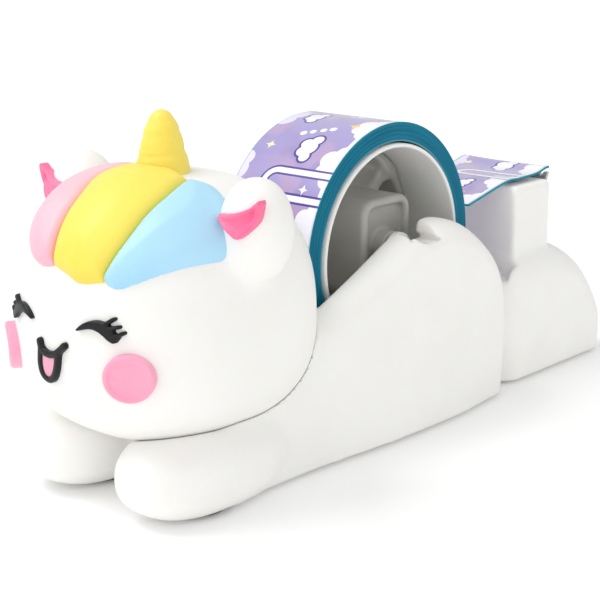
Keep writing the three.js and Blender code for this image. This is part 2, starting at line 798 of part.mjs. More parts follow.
// The free end: off the back of the roll, over the post and onto the teeth.
const tailRun = [
  [rollRadius + 0.7, axisHeight + 4],
  [postFront - 1, postHeight + 0.75],
  [postFront + 4, postHeight + 0.8],
  [postRear - 2.4, postHeight + 0.95],
  [postRear + 0.6, bladeTip + 0.6],
  [postRear + 2, bladeTip + 0.65],
];
const tailShape = new THREE.Shape();
tailShape.moveTo(tailRun[0][0], tailRun[0][1] - tapeThickness / 2);
tailRun.slice(1).forEach(([y, z]) => tailShape.lineTo(y, z - tapeThickness / 2));
[...tailRun].reverse().forEach(([y, z]) => tailShape.lineTo(y, z + tapeThickness / 2));
tailShape.closePath();
addPart('tape_tail', sideSolid(tailShape, -tapeWidth / 2, tapeWidth / 2), lavender, 0.3);

const woundTape = ringX(coreRadius + seatGap, rollRadius, -tapeWidth / 2, tapeWidth / 2, 72);
addPart('tape_roll', woundTape, lavender, 0.3);
addPart('tape_core', ringX(
  coreBore / 2, coreRadius, -tapeWidth / 2 - coreProud, tapeWidth / 2 + coreProud, 64,
), cardWhite, 0.7);

// ---------- hub ----------

const hubRadius = coreBore / 2 - seatGap;
const bossHalfLength = wellHalfWidth - washerThickness - 2 * seatGap;
const hubRimStart = -tapeWidth / 2 + 0.2;
const hubRim = ringX(hubRadius - hubRimWall, hubRadius, hubRimStart, hubRimStart + hubRimWidth, 56);
const hubBoss = barX(hubBossDiameter / 2, -bossHalfLength, bossHalfLength, 0, axisHeight, 24);
const blockOutline = roundedRectangle(
  -hubBlockDepth / 2, hubBlockDepth / 2, axisHeight - hubBlockHeight / 2, axisHeight + hubBlockHeight / 2,
  hubBlockCorner,
);
const pocketOutline = roundedRectangle(
  -hubBlockDepth / 2 + hubBlockWall,
  hubBlockDepth / 2 - hubBlockWall,
  axisHeight - hubBlockHeight / 2 + hubBlockWall,
  axisHeight + hubBlockHeight / 2 - hubBlockWall,
  hubBlockCorner - hubBlockWall,
);
const blockEnd = bossHalfLength - washerThickness;
const hubBlock = cut(sideSolid(blockOutline, -blockEnd, blockEnd), [
  sideSolid(pocketOutline, blockEnd - hubBlockRecess, tapeWidth),
  sideSolid(pocketOutline, -tapeWidth, hubBlockRecess - blockEnd),
]);
const spokeReach = hubRadius - hubRimWall / 2;
const spokes = Array.from({ length: hubSpokes }, (_, i) => {
  const bar = new THREE.BoxGeometry(hubRimWidth - 1, spokeThickness, spokeReach);
  bar.translate(hubRimStart + hubRimWidth / 2, 0, spokeReach / 2);
  bar.rotateX((i + 0.5) * (2 * Math.PI / hubSpokes));
  return solidOf(bar.translate(0, 0, axisHeight));
});
const hubBore = barX(axleRadius + bearingClearance, -tapeWidth, tapeWidth, 0, axisHeight, 24);
addPart('hub_wheel', unite([hubRim, hubBlock, hubBoss, ...spokes]).subtract(hubBore), frosted, 0.35);

const axleHalfLength = wellHalfWidth + axleEngagement;
const axleProfile = [
  [0, -axleHalfLength],
  [axleRadius - 0.4, -axleHalfLength],
  [axleRadius, -axleHalfLength + 0.4],
  [axleRadius, axleHalfLength - 0.4],
  [axleRadius - 0.4, axleHalfLength],
  [0, axleHalfLength],
];
const axlePoints = axleProfile.map(([r, x]) => new THREE.Vector2(r, x));
const axle = new THREE.LatheGeometry(axlePoints, 24).rotateZ(-Math.PI / 2);
addPart('hub_axle', solidOf(axle.translate(0, 0, axisHeight)), frosted, 0.35);

[['left', 1], ['right', -1]].forEach(([name, side]) => {
  const inner = side * (bossHalfLength + seatGap);
  const outer = side * (bossHalfLength + seatGap + washerThickness);
  const washer = ringX(
    axleRadius + seatGap, washerDiameter / 2, Math.min(inner, outer), Math.max(inner, outer), 24,
  );
  addPart(`axle_washer_${name}`, washer, cardWhite, 0.5);
});

// ---------- origin under the middle of the object ----------

const box = new THREE.Box3().setFromObject(root);
root.position.y = -(box.min.y + box.max.y) / 2;

export default root;
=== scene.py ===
import math

import bpy
import numpy as np
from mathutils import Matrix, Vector


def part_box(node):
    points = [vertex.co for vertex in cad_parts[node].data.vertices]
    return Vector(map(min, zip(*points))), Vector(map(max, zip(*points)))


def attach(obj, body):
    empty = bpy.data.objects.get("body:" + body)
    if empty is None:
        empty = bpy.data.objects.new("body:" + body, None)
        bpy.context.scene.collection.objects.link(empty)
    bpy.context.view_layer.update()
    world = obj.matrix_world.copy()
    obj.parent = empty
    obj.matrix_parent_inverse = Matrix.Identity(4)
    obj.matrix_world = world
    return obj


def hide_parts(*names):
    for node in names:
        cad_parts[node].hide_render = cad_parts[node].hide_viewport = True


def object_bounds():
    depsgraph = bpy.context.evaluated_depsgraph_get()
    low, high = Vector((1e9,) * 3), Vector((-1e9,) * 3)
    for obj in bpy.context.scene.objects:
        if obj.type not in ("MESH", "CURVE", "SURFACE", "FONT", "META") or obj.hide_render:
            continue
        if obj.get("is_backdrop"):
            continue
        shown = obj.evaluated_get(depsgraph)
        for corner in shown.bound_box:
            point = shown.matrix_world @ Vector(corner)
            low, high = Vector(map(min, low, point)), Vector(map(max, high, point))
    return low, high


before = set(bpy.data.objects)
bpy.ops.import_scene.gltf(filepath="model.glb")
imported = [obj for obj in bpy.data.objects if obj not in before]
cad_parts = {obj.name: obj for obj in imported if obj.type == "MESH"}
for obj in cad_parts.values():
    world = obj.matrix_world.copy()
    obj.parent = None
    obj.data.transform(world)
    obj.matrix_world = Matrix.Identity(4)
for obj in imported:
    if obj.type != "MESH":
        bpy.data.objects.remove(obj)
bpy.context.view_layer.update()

# A unicorn tape dispenser, modelled in millimetres about the roll's axis: x runs across,
# the head faces -y, and z = 0 is the desk. place() turns that into the frame's metres.
MM = 0.001


def span(node):
    """Lowest and highest corner of a CAD node, in millimetres of the frame."""
    low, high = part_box(node)
    return np.array(low) / MM, np.array(high) / MM


axle_low, axle_high = span("hub_axle")
AXIS_Y = (axle_low[1] + axle_high[1]) / 2
AXIS_Z = (axle_low[2] + axle_high[2]) / 2
HEAD_Y = span("head_shell")[0][1] - AXIS_Y + 23.2
HEAD_Z = span("horn")[1][2] - 31.6
roll_low, roll_high = span("tape_roll")
ROLL_RADIUS = (roll_high[2] - roll_low[2]) / 2
TAPE_HALF = (roll_high[0] - roll_low[0]) / 2
core_low, core_high = span("tape_core")
CORE_OUTER = (core_high[2] - core_low[2]) / 2
CORE_HALF = (core_high[0] - core_low[0]) / 2
CORE_WALL = 0.7
WELL_HALF = TAPE_HALF + 2.1
WELL_RADIUS = ROLL_RADIUS + 1.3
GAP = 0.3
PAD_PROUD = 0.6


# ---------- shader maths ----------


class Wire:
    """An output socket that can be added to, multiplied and so on."""

    def __init__(self, paint, socket):
        self.paint = paint
        self.socket = socket

    def __add__(self, other):
        return self.paint.math("ADD", self, other)

    def __radd__(self, other):
        return self.paint.math("ADD", other, self)

    def __sub__(self, other):
        return self.paint.math("SUBTRACT", self, other)

    def __rsub__(self, other):
        return self.paint.math("SUBTRACT", other, self)

    def __mul__(self, other):
        return self.paint.math("MULTIPLY", self, other)

    def __rmul__(self, other):
        return self.paint.math("MULTIPLY", other, self)

    def __abs__(self):
        return self.paint.math("ABSOLUTE", self)


class Paint:
    """One finish: its node tree and its main shader, with constants on the shader's sockets."""

    def __init__(self, name, **constants):
        self.material = bpy.data.materials.new(name)
        self.material.use_nodes = True
        self.tree = self.material.node_tree
        self.shader = self.tree.nodes["Principled BSDF"]
        for socket, value in constants.items():
            self.shader.inputs[socket.replace("_", " ")].default_value = value

    def node(self, kind, settings, inputs, output=0):
        """Adds a node: its settings first, then the values or wires of its sockets."""
        made = self.tree.nodes.new(kind)
        for key, value in settings.items():
            setattr(made, key, value)
        for key, value in inputs.items():
            if isinstance(value, Wire):
                self.tree.links.new(value.socket, made.inputs[key])
            else:
                made.inputs[key].default_value = value
        return Wire(self, made.outputs[output])

    def math(self, operation, *values):
        return self.node("ShaderNodeMath", {"operation": operation}, dict(enumerate(values)))

    def least(self, *values):
        found = values[0]
        for value in values[1:]:
            found = self.math("MINIMUM", found, value)
        return found

    def length(self, a, b):
        return self.math("SQRT", a * a + b * b)

    def fade(self, value, low, high):
        """0 below low, 1 above high, smooth between."""
        settings = {"interpolation_type": "SMOOTHSTEP"}
        return self.node("ShaderNodeMapRange", settings, {0: value, 1: low, 2: high, 3: 0.0, 4: 1.0})

    def mix(self, share, first, second):
        settings = {"data_type": "RGBA"}
        return self.node("ShaderNodeMix", settings, {0: share, 6: first, 7: second}, 2)

    def place_mm(self):
        """Where a point lies on its piece, in millimetres."""
        spot = self.node("ShaderNodeTexCoord", {}, {}, "Object")
        return self.node("ShaderNodeVectorMath", {"operation": "SCALE"}, {0: spot, "Scale": 1 / MM})

    def stretched(self, vector, across, along, up):
        values = {0: vector, 1: (across, along, up)}
        return self.node("ShaderNodeVectorMath", {"operation": "MULTIPLY"}, values)

    def noise(self, vector, scale, detail=2.0, roughness=0.5):
        values = {"Vector": vector, "Scale": scale, "Detail": detail, "Roughness": roughness}
        return self.node("ShaderNodeTexNoise", {}, values, "Fac")

    def split(self, vector):
        made = self.tree.nodes.new("ShaderNodeSeparateXYZ")
        self.tree.links.new(vector.socket, made.inputs[0])
        return [Wire(self, socket) for socket in made.outputs]

    def join(self, x, y, z):
        return self.node("ShaderNodeCombineXYZ", {}, {0: x, 1: y, 2: z})

    def bump(self, height, depth_mm, strength=1.0):
        values = {"Height": height, "Distance": depth_mm * MM, "Strength": strength}
        return self.node("ShaderNodeBump", {}, values)

    def feed(self, **wires):
        for socket, wire in wires.items():
            self.tree.links.new(wire.socket, self.shader.inputs[socket.replace("_", " ")])
        return self.material


def tint(code):
    """A colour written as six hex digits, made linear for the shaders."""
    parts = [int(code[i:i + 2], 16) / 255 for i in (0, 2, 4)]
    linear = [c / 12.92 if c <= 0.04045 else ((c + 0.055) / 1.055) ** 2.4 for c in parts]
    return (*linear, 1.0)


def painted_vinyl(name, pale, deep, roughness, grain_depth, coat=0.0, glow=0.12):
    """Soft moulded vinyl with a sprayed colour: a slow drift of shade over a fine grain."""
    paint = Paint(
        name,
        Coat_Weight=coat,
        Coat_Roughness=0.3,
        Subsurface_Weight=glow,
        Subsurface_Scale=0.0015,
        Specular_IOR_Level=0.4,
    )
    spot = paint.place_mm()
    drift = paint.noise(spot, 0.07, 3.0)
    speckle = paint.noise(spot, 2.6, 3.0, 0.6)
    pores = paint.noise(spot, 6.5, 2.0, 0.7)
    shade = paint.fade(drift * 0.8 + speckle * 0.2, 0.3, 0.7)
    gloss = roughness - 0.06 + speckle * 0.12
    skin = paint.bump(speckle * 0.65 + pores * 0.35, grain_depth, 0.6)
    return paint.feed(Base_Color=paint.mix(shade, deep, pale), Roughness=gloss, Normal=skin)


def hair_with_painted_shade(name, pale, deep, low_z, high_z):
    """Hair colour with painted shade: paler higher up and deeper lower down, with faint combed streaks."""
    paint = Paint(
        name,
        Coat_Weight=0.12,
        Coat_Roughness=0.35,
        Subsurface_Weight=0.1,
        Subsurface_Scale=0.0015,
    )
    spot = paint.place_mm()
    z = paint.split(spot)[2]
    # Painted shade: the colour turns from deep to pale as the height rises from low_z to high_z.
    rise = paint.fade(z + paint.noise(spot, 0.12) * 6.0, low_z, high_z)
    comb = paint.noise(paint.stretched(spot, 1.6, 0.22, 0.22), 0.9, 2.0)
    speckle = paint.noise(spot, 3.0, 3.0, 0.6)
    shade = paint.fade(rise * 0.75 + comb * 0.15 + speckle * 0.1, 0.05, 0.95)
    gloss = 0.42 + speckle * 0.14
    skin = paint.bump(comb * 0.5 + speckle * 0.5, 0.05, 0.5)
    return paint.feed(Base_Color=paint.mix(shade, deep, pale), Roughness=gloss, Normal=skin)


def glossy_black():
    paint = Paint("face_black", Coat_Weight=0.12, Coat_Roughness=0.15, Specular_IOR_Level=0.3)
    spot = paint.place_mm()
    speckle = paint.noise(spot, 2.2, 2.0)
    shade = paint.mix(speckle, tint("050508"), tint("101016"))
    skin = paint.bump(speckle, 0.06, 0.5)
    return paint.feed(Base_Color=shade, Roughness=0.34 + speckle * 0.16, Normal=skin)


def steel(name, base, streak_across, streak_up):
    """Rolled steel: fine streaks, a few darker handling marks."""
    paint = Paint(name, Metallic=1.0)
    spot = paint.place_mm()
    streaks = paint.noise(paint.stretched(spot, streak_across, 1.0, streak_up), 3.0, 3.0)
    marks = paint.fade(paint.noise(spot, 0.35, 4.0), 0.5, 0.75)
    shade = paint.mix(streaks * 0.6 + marks * 0.4, base, tint("7d8287"))
    gloss = 0.22 + streaks * 0.16 + marks * 0.1
    return paint.feed(Base_Color=shade, Roughness=gloss, Normal=paint.bump(streaks, 0.02, 0.5))


def foot_rubber():
    paint = Paint("foot_rubber", Specular_IOR_Level=0.3)
    spot = paint.place_mm()
    grain = paint.noise(spot, 3.5, 4.0, 0.65)
    dust = paint.fade(paint.noise(spot, 0.5, 3.0), 0.5, 0.8)
    shade = paint.mix(dust * 0.5 + grain * 0.3, tint("63666a"), tint("8d9092"))
    skin = paint.bump(grain, 0.08, 0.7)
    return paint.feed(Base_Color=shade, Roughness=0.78 + grain * 0.15, Normal=skin)


def core_board():
    """Smooth white plastic core with a trace of the spiral it was wound on."""
    paint = Paint(
        "core_white",
        Coat_Weight=0.15,
        Coat_Roughness=0.4,
        Subsurface_Weight=0.15,
        Subsurface_Scale=0.001,
    )
    spot = paint.place_mm()
    x, y, z = paint.split(spot)
    turn = paint.math("ARCTAN2", y - AXIS_Y, z - AXIS_Z)
    spiral = paint.math("SINE", x * 0.9 + turn * 3.0)
    groove = paint.fade(abs(spiral), 0.0, 0.08)
    fibre = paint.noise(spot, 1.8, 3.0)
    shade = paint.mix(fibre * 0.6 + groove * 0.4, tint("e9e8e4"), tint("f6f5f3"))
    skin = paint.bump(groove * 0.5 + fibre * 0.5, 0.05, 0.5)
    return paint.feed(Base_Color=shade, Roughness=0.42 + fibre * 0.14, Normal=skin)


def frosted_plastic(name):
    """Clear plastic with a frosted skin and slow flow marks."""
    paint = Paint(name, Transmission_Weight=0.3, IOR=1.46, Coat_Weight=0.5, Coat_Roughness=0.12)
    spot = paint.place_mm()
    flow = paint.noise(paint.stretched(spot, 0.4, 1.0, 1.0), 0.28, 3.0)
    frost = paint.noise(spot, 2.4, 3.0, 0.6)
    shade = paint.mix(flow * 0.7 + frost * 0.3, tint("b6b4ab"), tint("cfcec8"))
    gloss = 0.2 + frost * 0.22 + flow * 0.08
    skin = paint.bump(flow * 0.7 + frost * 0.3, 0.12, 0.6)
    return paint.feed(Base_Color=shade, Roughness=gloss, Normal=skin)


TEAL_PALE = tint("1fa3b6")


def tape_edge():
    """The wound edge of the tape: a thin line for every layer, a little uneven round the roll, with a
    painted highlight along the outer rim.
    """
    paint = Paint("tape_edge", Specular_IOR_Level=0.15)
    spot = paint.place_mm()
    x, y, z = paint.split(spot)
    radius = paint.length(y - AXIS_Y, z - AXIS_Z)
    turn = paint.math("ARCTAN2", y - AXIS_Y, z - AXIS_Z)
    layers = paint.noise(paint.join(radius * 5.5, turn * 0.7, x * 0.2), 1.0, 4.0, 0.6)
    slow = paint.noise(paint.join(radius * 0.9, turn * 1.6, x * 0.1), 1.0, 2.0)
    # Painted highlight: the outermost rim of the edge is mixed towards pale teal.
    rim = paint.fade(radius, ROLL_RADIUS - 0.35, ROLL_RADIUS - 0.05)
    inner = 1 - paint.fade(radius, CORE_OUTER + 0.2, CORE_OUTER + 0.75)
    body = paint.mix(paint.fade(layers * 0.7 + slow * 0.3, 0.3, 0.7), tint("00607c"), tint("007c98"))
    edge_with_painted_highlight = paint.mix(rim * 0.4, body, TEAL_PALE)
    shade = paint.mix(inner * 0.45, edge_with_painted_highlight, tint("9fd6dc"))
    skin = paint.bump(layers, 0.05, 0.5)
    return paint.feed(Base_Color=shade, Roughness=0.46 + layers * 0.14, Normal=skin)


# Each lobe of a cloud: its centre across and along, and its radius, for a cloud of size 1.
CLOUD_LOBES = [
    (0.0, 0.0, 1.0), (0.25, 1.15, 0.75), (0.15, -1.2, 0.7), (-0.55, 0.5, 0.8), (-0.5, -0.55, 0.75),
]
PRINT_REPEAT = 31.0  # millimetres of tape before the drawings come again


def tape_print(name, margin_tint):
    """Glossy film printed with clouds, stars, hearts and dots on lavender.

    The print follows the tape's own map: u across it and v along it, in millimetres."""
    paint = Paint(name, Coat_Weight=0.8, Coat_Roughness=0.06)
    ticks = paint.node("ShaderNodeUVMap", {"uv_map": "print"}, {})
    u, v, _ = paint.split(ticks)
    u = u * 100.0
    v = v * 100.0
    soft = paint.noise(paint.join(u * 0.16, v * 0.16, 0.0), 1.0, 2.0)
    wash = paint.noise(paint.join(u * 0.1, v * 0.1, 7.0), 1.0, 1.0)
    lilac = paint.mix(paint.fade(soft, 0.38, 0.62), tint("9a8fc6"), tint("b79fcb"))
    ground = paint.mix(paint.fade(wash, 0.42, 0.62), lilac, tint("a49ad2"))
    ink = tint("45309a")
    white = tint("fbfaff")

    def spot_at(across, along, period):
        """Coordinates about a mark that repeats along the tape."""
        return u - across, paint.math("WRAP", v - along, period / 2, -period / 2)

    def cloud(across, along, period, size):
        a, b = spot_at(across, along, period)
        reaches = [
            paint.length(a - p * size, b - q * size) - r * size for p, q, r in CLOUD_LOBES
        ]
        return paint.least(*reaches)

    def heart(across, along, period, size):
        a, b = spot_at(across, along, period)
        p = a * (1 / size)
        q = abs(b) * (1 / size)
        return (paint.length(p + 0.2 - q * 0.75, q) - 0.85) * size

    def star(across, along, period, size):
        a, b = spot_at(across, along, period)
        return (paint.math("SQRT", abs(a)) + paint.math("SQRT", abs(b)) - size ** 0.5) * (size ** 0.5)

    def dot(across, along, period, size):
        a, b = spot_at(across, along, period)
        return paint.length(a, b) - size

    def arches(across, along, period, size):
        a, b = spot_at(across, along, period)
        reach = paint.length(paint.least(a, 0.0), b)
        return abs(reach - size) - size * 0.3

    def ring_of(distance, width):
        return 1 - paint.fade(abs(distance), width * 0.6, width)

    def filled(distance):
        return 1 - paint.fade(distance, -0.06, 0.06)

    shade = ground
    bank = paint.least(cloud(8.6, 2.0, 11.0, 2.3), 8.6 - u)
    shade = paint.mix(filled(bank), shade, white)
    far_bank = paint.least(cloud(-9.4, 8.0, 23.0, 2.6), cloud(-9.8, 0.0, 17.0, 2.0))
    shade = paint.mix(filled(far_bank), shade, tint("e9e2fb"))
    for across, along, size in [(1.6, 4.0, 1.7), (-4.4, 13.5, 1.45), (2.6, 20.5, 1.25)]:
        puff = cloud(across, along, PRINT_REPEAT, size)
        shade = paint.mix(filled(puff), shade, white)
        shade = paint.mix(ring_of(puff, 0.26), shade, ink)
    bow = arches(-1.2, 27.6, PRINT_REPEAT, 2.3)
    shade = paint.mix(filled(bow), shade, white)
    shade = paint.mix(ring_of(bow, 0.24), shade, ink)
    for across, along, size in [(-2.2, 7.4, 0.62), (-0.7, 8.1, 0.58), (0.9, 8.9, 0.6), (2.4, 9.6, 0.66)]:
        mark = dot(across, along, PRINT_REPEAT, size)
        shade = paint.mix(filled(mark), shade, white)
    for across, along, size, code in [
        (5.4, 11.6, 1.5, "ffd65a"),
        (-6.4, 3.6, 1.3, "fff3b0"),
        (5.2, 27.0, 1.2, "ffffff"),
        (-2.0, 18.6, 1.1, "ffe27a"),
    ]:
        mark = star(across, along, PRINT_REPEAT, size)
        shade = paint.mix(filled(mark), shade, tint(code))
    for across, along, code in [(4.6, 16.4, "f58fb6"), (-5.8, 22.6, "f7a6c6")]:
        mark = heart(across, along, PRINT_REPEAT, 0.95)
        shade = paint.mix(filled(mark), shade, tint(code))
    margin = paint.fade(abs(u), TAPE_HALF - 0.55, TAPE_HALF - 0.1)
    shade = paint.mix(margin * margin_tint, shade, TEAL_PALE)
    scuff = paint.noise(paint.join(u * 0.5, v * 0.09, 3.0), 1.0, 4.0, 0.65)
    ripple = paint.noise(paint.join(u * 0.07, v * 0.3, 1.0), 1.0, 2.0)
    return paint.feed(
        Base_Color=shade,
        Roughness=0.16 + scuff * 0.16,
        Normal=paint.bump(ripple * 0.8 + scuff * 0.2, 0.12, 0.5),
    )


body_white = painted_vinyl("body_white", tint("f9f8f5"), tint("f5f4f0"), 0.5, 0.05)
ear_pink = painted_vinyl("ear_pink", tint("fd86ad"), tint("f66696"), 0.45, 0.05, 0.1)
horn_yellow = painted_vinyl("horn_yellow", tint("fdec78"), tint("f9dc55"), 0.48, 0.06, 0.08)
# The hair locks carry painted shade: paler towards the top, deeper lower down.
hair_pink = hair_with_painted_shade("hair_pink", tint("fcc9d4"), tint("f7a9bf"), 26.0, 58.0)
hair_yellow = hair_with_painted_shade("hair_yellow", tint("fde763"), tint("f2d748"), 33.0, 50.0)
hair_blue = hair_with_painted_shade("hair_blue", tint("b4e3fb"), tint("7cc3ea"), 30.0, 46.0)
face_black = glossy_black()
tongue_pink = painted_vinyl("tongue_pink", tint("f9b2c8"), tint("f39ab6"), 0.4, 0.04, 0.2)
cheek_pink = painted_vinyl("cheek_pink", tint("fbb0c9"), tint("f79dbb"), 0.42, 0.04, 0.12)
base_white = painted_vinyl("base_white", tint("f1efea"), tint("e6e4de"), 0.55, 0.09, 0.0, 0.0)
screw_steel = steel("screw_steel", tint("c4c8cc"), 1.0, 1.0)
ballast_steel = steel("ballast_steel", tint("a2a6aa"), 0.3, 2.0)
blade_steel = steel("blade_steel", tint("cfd3d6"), 0.15, 3.0)
foot_pad_rubber = foot_rubber()
core_white = core_board()
hub_frosted = frosted_plastic("hub_frosted")
axle_frosted = frosted_plastic("axle_frosted")
washer_white = painted_vinyl("washer_white", tint("efeeea"), tint("e2e0da"), 0.4, 0.04, 0.1, 0.0)
roll_edge = tape_edge()
roll_print = tape_print("tape_print", 0.35)
tail_print = tape_print("tape_tail_print", 0.8)


# ---------- outlines and distances ----------


def through(points, steps=6):
    """A smooth open curve through the points."""
    spots = np.array(points, float)
    padded = np.vstack([spots[0], spots, spots[-1]])
    out = []
    for a, b, c, d in zip(padded, padded[1:], padded[2:], padded[3:]):
        for t in np.linspace(0, 1, steps, endpoint=False):
            v0 = (c - a) / 2
            v1 = (d - b) / 2
            cubic = (2 * b - 2 * c + v0 + v1) * t ** 3
            square = (3 * c - 3 * b - 2 * v0 - v1) * t ** 2
            out.append(cubic + square + v0 * t + b)
    return np.array(out + [spots[-1]])


def outline_distance(a, b, outline):
    """Distance from points (a, b) to a closed outline, negative inside it."""
    a, b = np.broadcast_arrays(np.asarray(a, float), np.asarray(b, float))
    nearest = np.full(a.shape, 1e9)
    inside = np.zeros(a.shape, bool)
    for (x0, y0), (x1, y1) in zip(outline, np.roll(outline, -1, 0)):
        ex = x1 - x0
        ey = y1 - y0
        size = ex * ex + ey * ey
        if size < 1e-12:
            continue
        wx = a - x0
        wy = b - y0
        t = np.clip((wx * ex + wy * ey) / size, 0, 1)
        nearest = np.minimum(nearest, (wx - ex * t) ** 2 + (wy - ey * t) ** 2)
        if abs(ey) > 1e-12:
            inside ^= ((y0 > b) != (y1 > b)) & (wx < ex * wy / ey)
    return np.sqrt(nearest) * np.where(inside, -1, 1)


def both(a, b, round_mm):
    """Where a and b are both inside, with the edge between them rounded."""
    p = a + round_mm
    q = b + round_mm
    return np.minimum(np.maximum(p, q), 0) + np.hypot(np.maximum(p, 0), np.maximum(q, 0)) - round_mm


def either(a, b, soft):
    """a and b joined, with a soft fillet."""
    h = np.clip(0.5 + 0.5 * (b - a) / soft, 0, 1)
    return b * (1 - h) + a * h - soft * h * (1 - h)


def without(a, tool, soft):
    """a with the tool taken out of it, the new edge a little soft."""
    return -either(-a, tool, soft)


def step_between(value, low, high):
    t = np.clip((value - low) / (high - low), 0, 1)
    return t * t * (3 - 2 * t)


def egg(x, y, z, reach, fullness):
    """A ball about the origin with its own reach to the side, front, back, top and bottom."""
    side, front, back, above, below = reach
    ry = np.where(y < 0, front, back)
    rz = np.where(z < 0, below, above)
    u = np.abs(x / side)
    v = np.abs(y / ry)
    w = np.abs(z / rz)
    total = np.maximum(u ** fullness + v ** fullness + w ** fullness, 1e-3)
    size = total ** (1 / fullness)
    scale = total ** (1 / fullness - 1)
    power = fullness - 1
    slope = (u ** power / side) ** 2 + (v ** power / ry) ** 2 + (w ** power / rz) ** 2
    return (size - 1) / np.maximum(scale * np.sqrt(slope), 1e-3)


def bar(a, b, radius):
    return np.hypot(a, b) - radius


def rectangle(a, b, a0, a1, b0, b1, corner):
    """A rounded rectangle's distance in its own plane."""
    p = np.abs(a - (a0 + a1) / 2) - (a1 - a0) / 2 + corner
    q = np.abs(b - (b0 + b1) / 2) - (b1 - b0) / 2 + corner
    return np.minimum(np.maximum(p, q), 0) + np.hypot(np.maximum(p, 0), np.maximum(q, 0)) - corner


# ---------- turning shapes into pieces ----------


def place(points):
    return (np.asarray(points, float) + np.array([0, AXIS_Y, 0])) * MM


def new_piece(name, points, faces, finishes, smooth_angle=40.0):
    """A mesh object from points in millimetres about the axis."""
    mesh = bpy.data.meshes.new(name)
    mesh.from_pydata(place(points).tolist(), [], faces)
    mesh.validate()
    for finish in finishes:
        mesh.materials.append(finish)
    piece = bpy.data.objects.new(name, mesh)
    bpy.context.scene.collection.objects.link(piece)
    mesh.shade_smooth()
    mesh.set_sharp_from_angle(angle=math.radians(smooth_angle))
    return piece


def settle(piece, body, slot, *nodes):
    """Puts a finished piece on its body, in the place of its CAD nodes."""
    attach(piece, body)
    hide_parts(*nodes)
    return piece


CORNERS = [(i, j, k) for i in (0, 1) for j in (0, 1) for k in (0, 1)]
EDGES = [
    (a, b) for a in range(8) for b in range(a + 1, 8)
    if sum(p != q for p, q in zip(CORNERS[a], CORNERS[b])) == 1
]


def skin_of(shape, low, high, step):
    """Points and four-sided faces of the surface where shape(x, y, z) is zero inside a box."""
    low = np.array(low, float)
    counts = np.ceil((np.array(high, float) - low) / step).astype(int) + 1
    axes = [low[i] + np.arange(counts[i]) * step for i in range(3)]
    x = axes[0][:, None, None]
    y = axes[1][None, :, None]
    z = axes[2][None, None, :]
    field = np.broadcast_to(shape(x, y, z), counts).copy()
    field[np.abs(field) < 1e-7] = 1e-7
    inside = field < 0
    n = counts - 1
    tally = sum(inside[i:i + n[0], j:j + n[1], k:k + n[2]].astype(np.int8) for i, j, k in CORNERS)
    cells = np.argwhere((tally > 0) & (tally < 8))
    number = np.full(n, -1)
    number[tuple(cells.T)] = np.arange(len(cells))
    values = [field[tuple((cells + corner).T)] for corner in CORNERS]
    total = np.zeros((len(cells), 3))
    crossings = np.zeros(len(cells))
    for a, b in EDGES:
        crossed = (values[a] < 0) != (values[b] < 0)
        share = np.where(crossed, values[a] / np.where(crossed, values[a] - values[b], 1), 0)
        start = np.array(CORNERS[a], float)
        total += np.where(crossed[:, None], start + share[:, None] * (np.array(CORNERS[b]) - start), 0)
        crossings += crossed
    points = low + (cells + total / crossings[:, None]) * step
    faces = []
    for axis in range(3):
        one, two = [(1, 2), (2, 0), (0, 1)][axis]
        trim = [slice(1, -1)] * 3
        ahead = [slice(1, -1)] * 3
        trim[axis] = slice(0, -1)
        ahead[axis] = slice(1, None)
        here = inside[tuple(trim)]
        there = inside[tuple(ahead)]
        spots = np.argwhere(here != there)
        spots[:, one] += 1
        spots[:, two] += 1
        back_one = spots.copy()
        back_one[:, one] -= 1
        back_two = spots.copy()
        back_two[:, two] -= 1
        back_both = back_one.copy()
        back_both[:, two] -= 1
        quad = np.stack([number[tuple(s.T)] for s in (back_both, back_two, spots, back_one)], 1)
        leaving = inside[tuple(spots.T)]
        quad[~leaving] = quad[~leaving][:, ::-1]
        faces.append(quad)
    for _ in range(2):
        value, slope = level_and_slope(shape, points)
        points = points - np.clip(value, -step / 2, step / 2)[:, None] * slope
    return points, np.concatenate(faces)


def level_and_slope(shape, points):
    x, y, z = points.T
    value = shape(x, y, z)
    tiny = 0.02
    slope = np.stack([
        shape(x + tiny, y, z) - shape(x - tiny, y, z),
        shape(x, y + tiny, z) - shape(x, y - tiny, z),
        shape(x, y, z + tiny) - shape(x, y, z - tiny),
    ], 1)
    size = np.linalg.norm(slope, axis=1, keepdims=True)
    return value, slope / np.maximum(size, 1e-6)


def cast(name, shape, low, high, step, finish):
    """A soft piece moulded from a shape of distances."""
    points, faces = skin_of(shape, low, high, step)
    return new_piece(name, points, faces.tolist(), [finish], 60.0)


def turned(name, section, sides, finishes, pick=None, smooth_angle=35.0):
    """A piece turned about the roll's axis from a closed section of (radius, x)."""
    rows = len(section)
    angles = np.arange(sides) * 2 * math.pi / sides
    points = [(x, r * math.sin(a), AXIS_Z + r * math.cos(a)) for a in angles for r, x in section]
    faces = []
    marks = []
    for i in range(sides):
        for j in range(rows):
            a = i * rows + j
            b = i * rows + (j + 1) % rows
            c = ((i + 1) % sides) * rows + (j + 1) % rows
            d = ((i + 1) % sides) * rows + j
            faces.append((d, c, b, a))
            marks.append(pick(j) if pick else 0)
    piece = new_piece(name, points, faces, finishes, smooth_angle)
    for polygon, mark in zip(piece.data.polygons, marks):
        polygon.material_index = mark
    return piece


def ring_section(inner, outer, x0, x1, corner, steps=4):
    """A ring's section with rounded corners."""
    out = []
    corners = [
        (inner + corner, x0 + corner, 180), (outer - corner, x0 + corner, 270),
        (outer - corner, x1 - corner, 0), (inner + corner, x1 - corner, 90),
    ]
    for r, x, start in corners:
        for k in range(steps + 1):
            angle = math.radians(start + 90 * k / steps)
            out.append((r + corner * math.cos(angle), x + corner * math.sin(angle)))
    return out


# ---------- head ----------

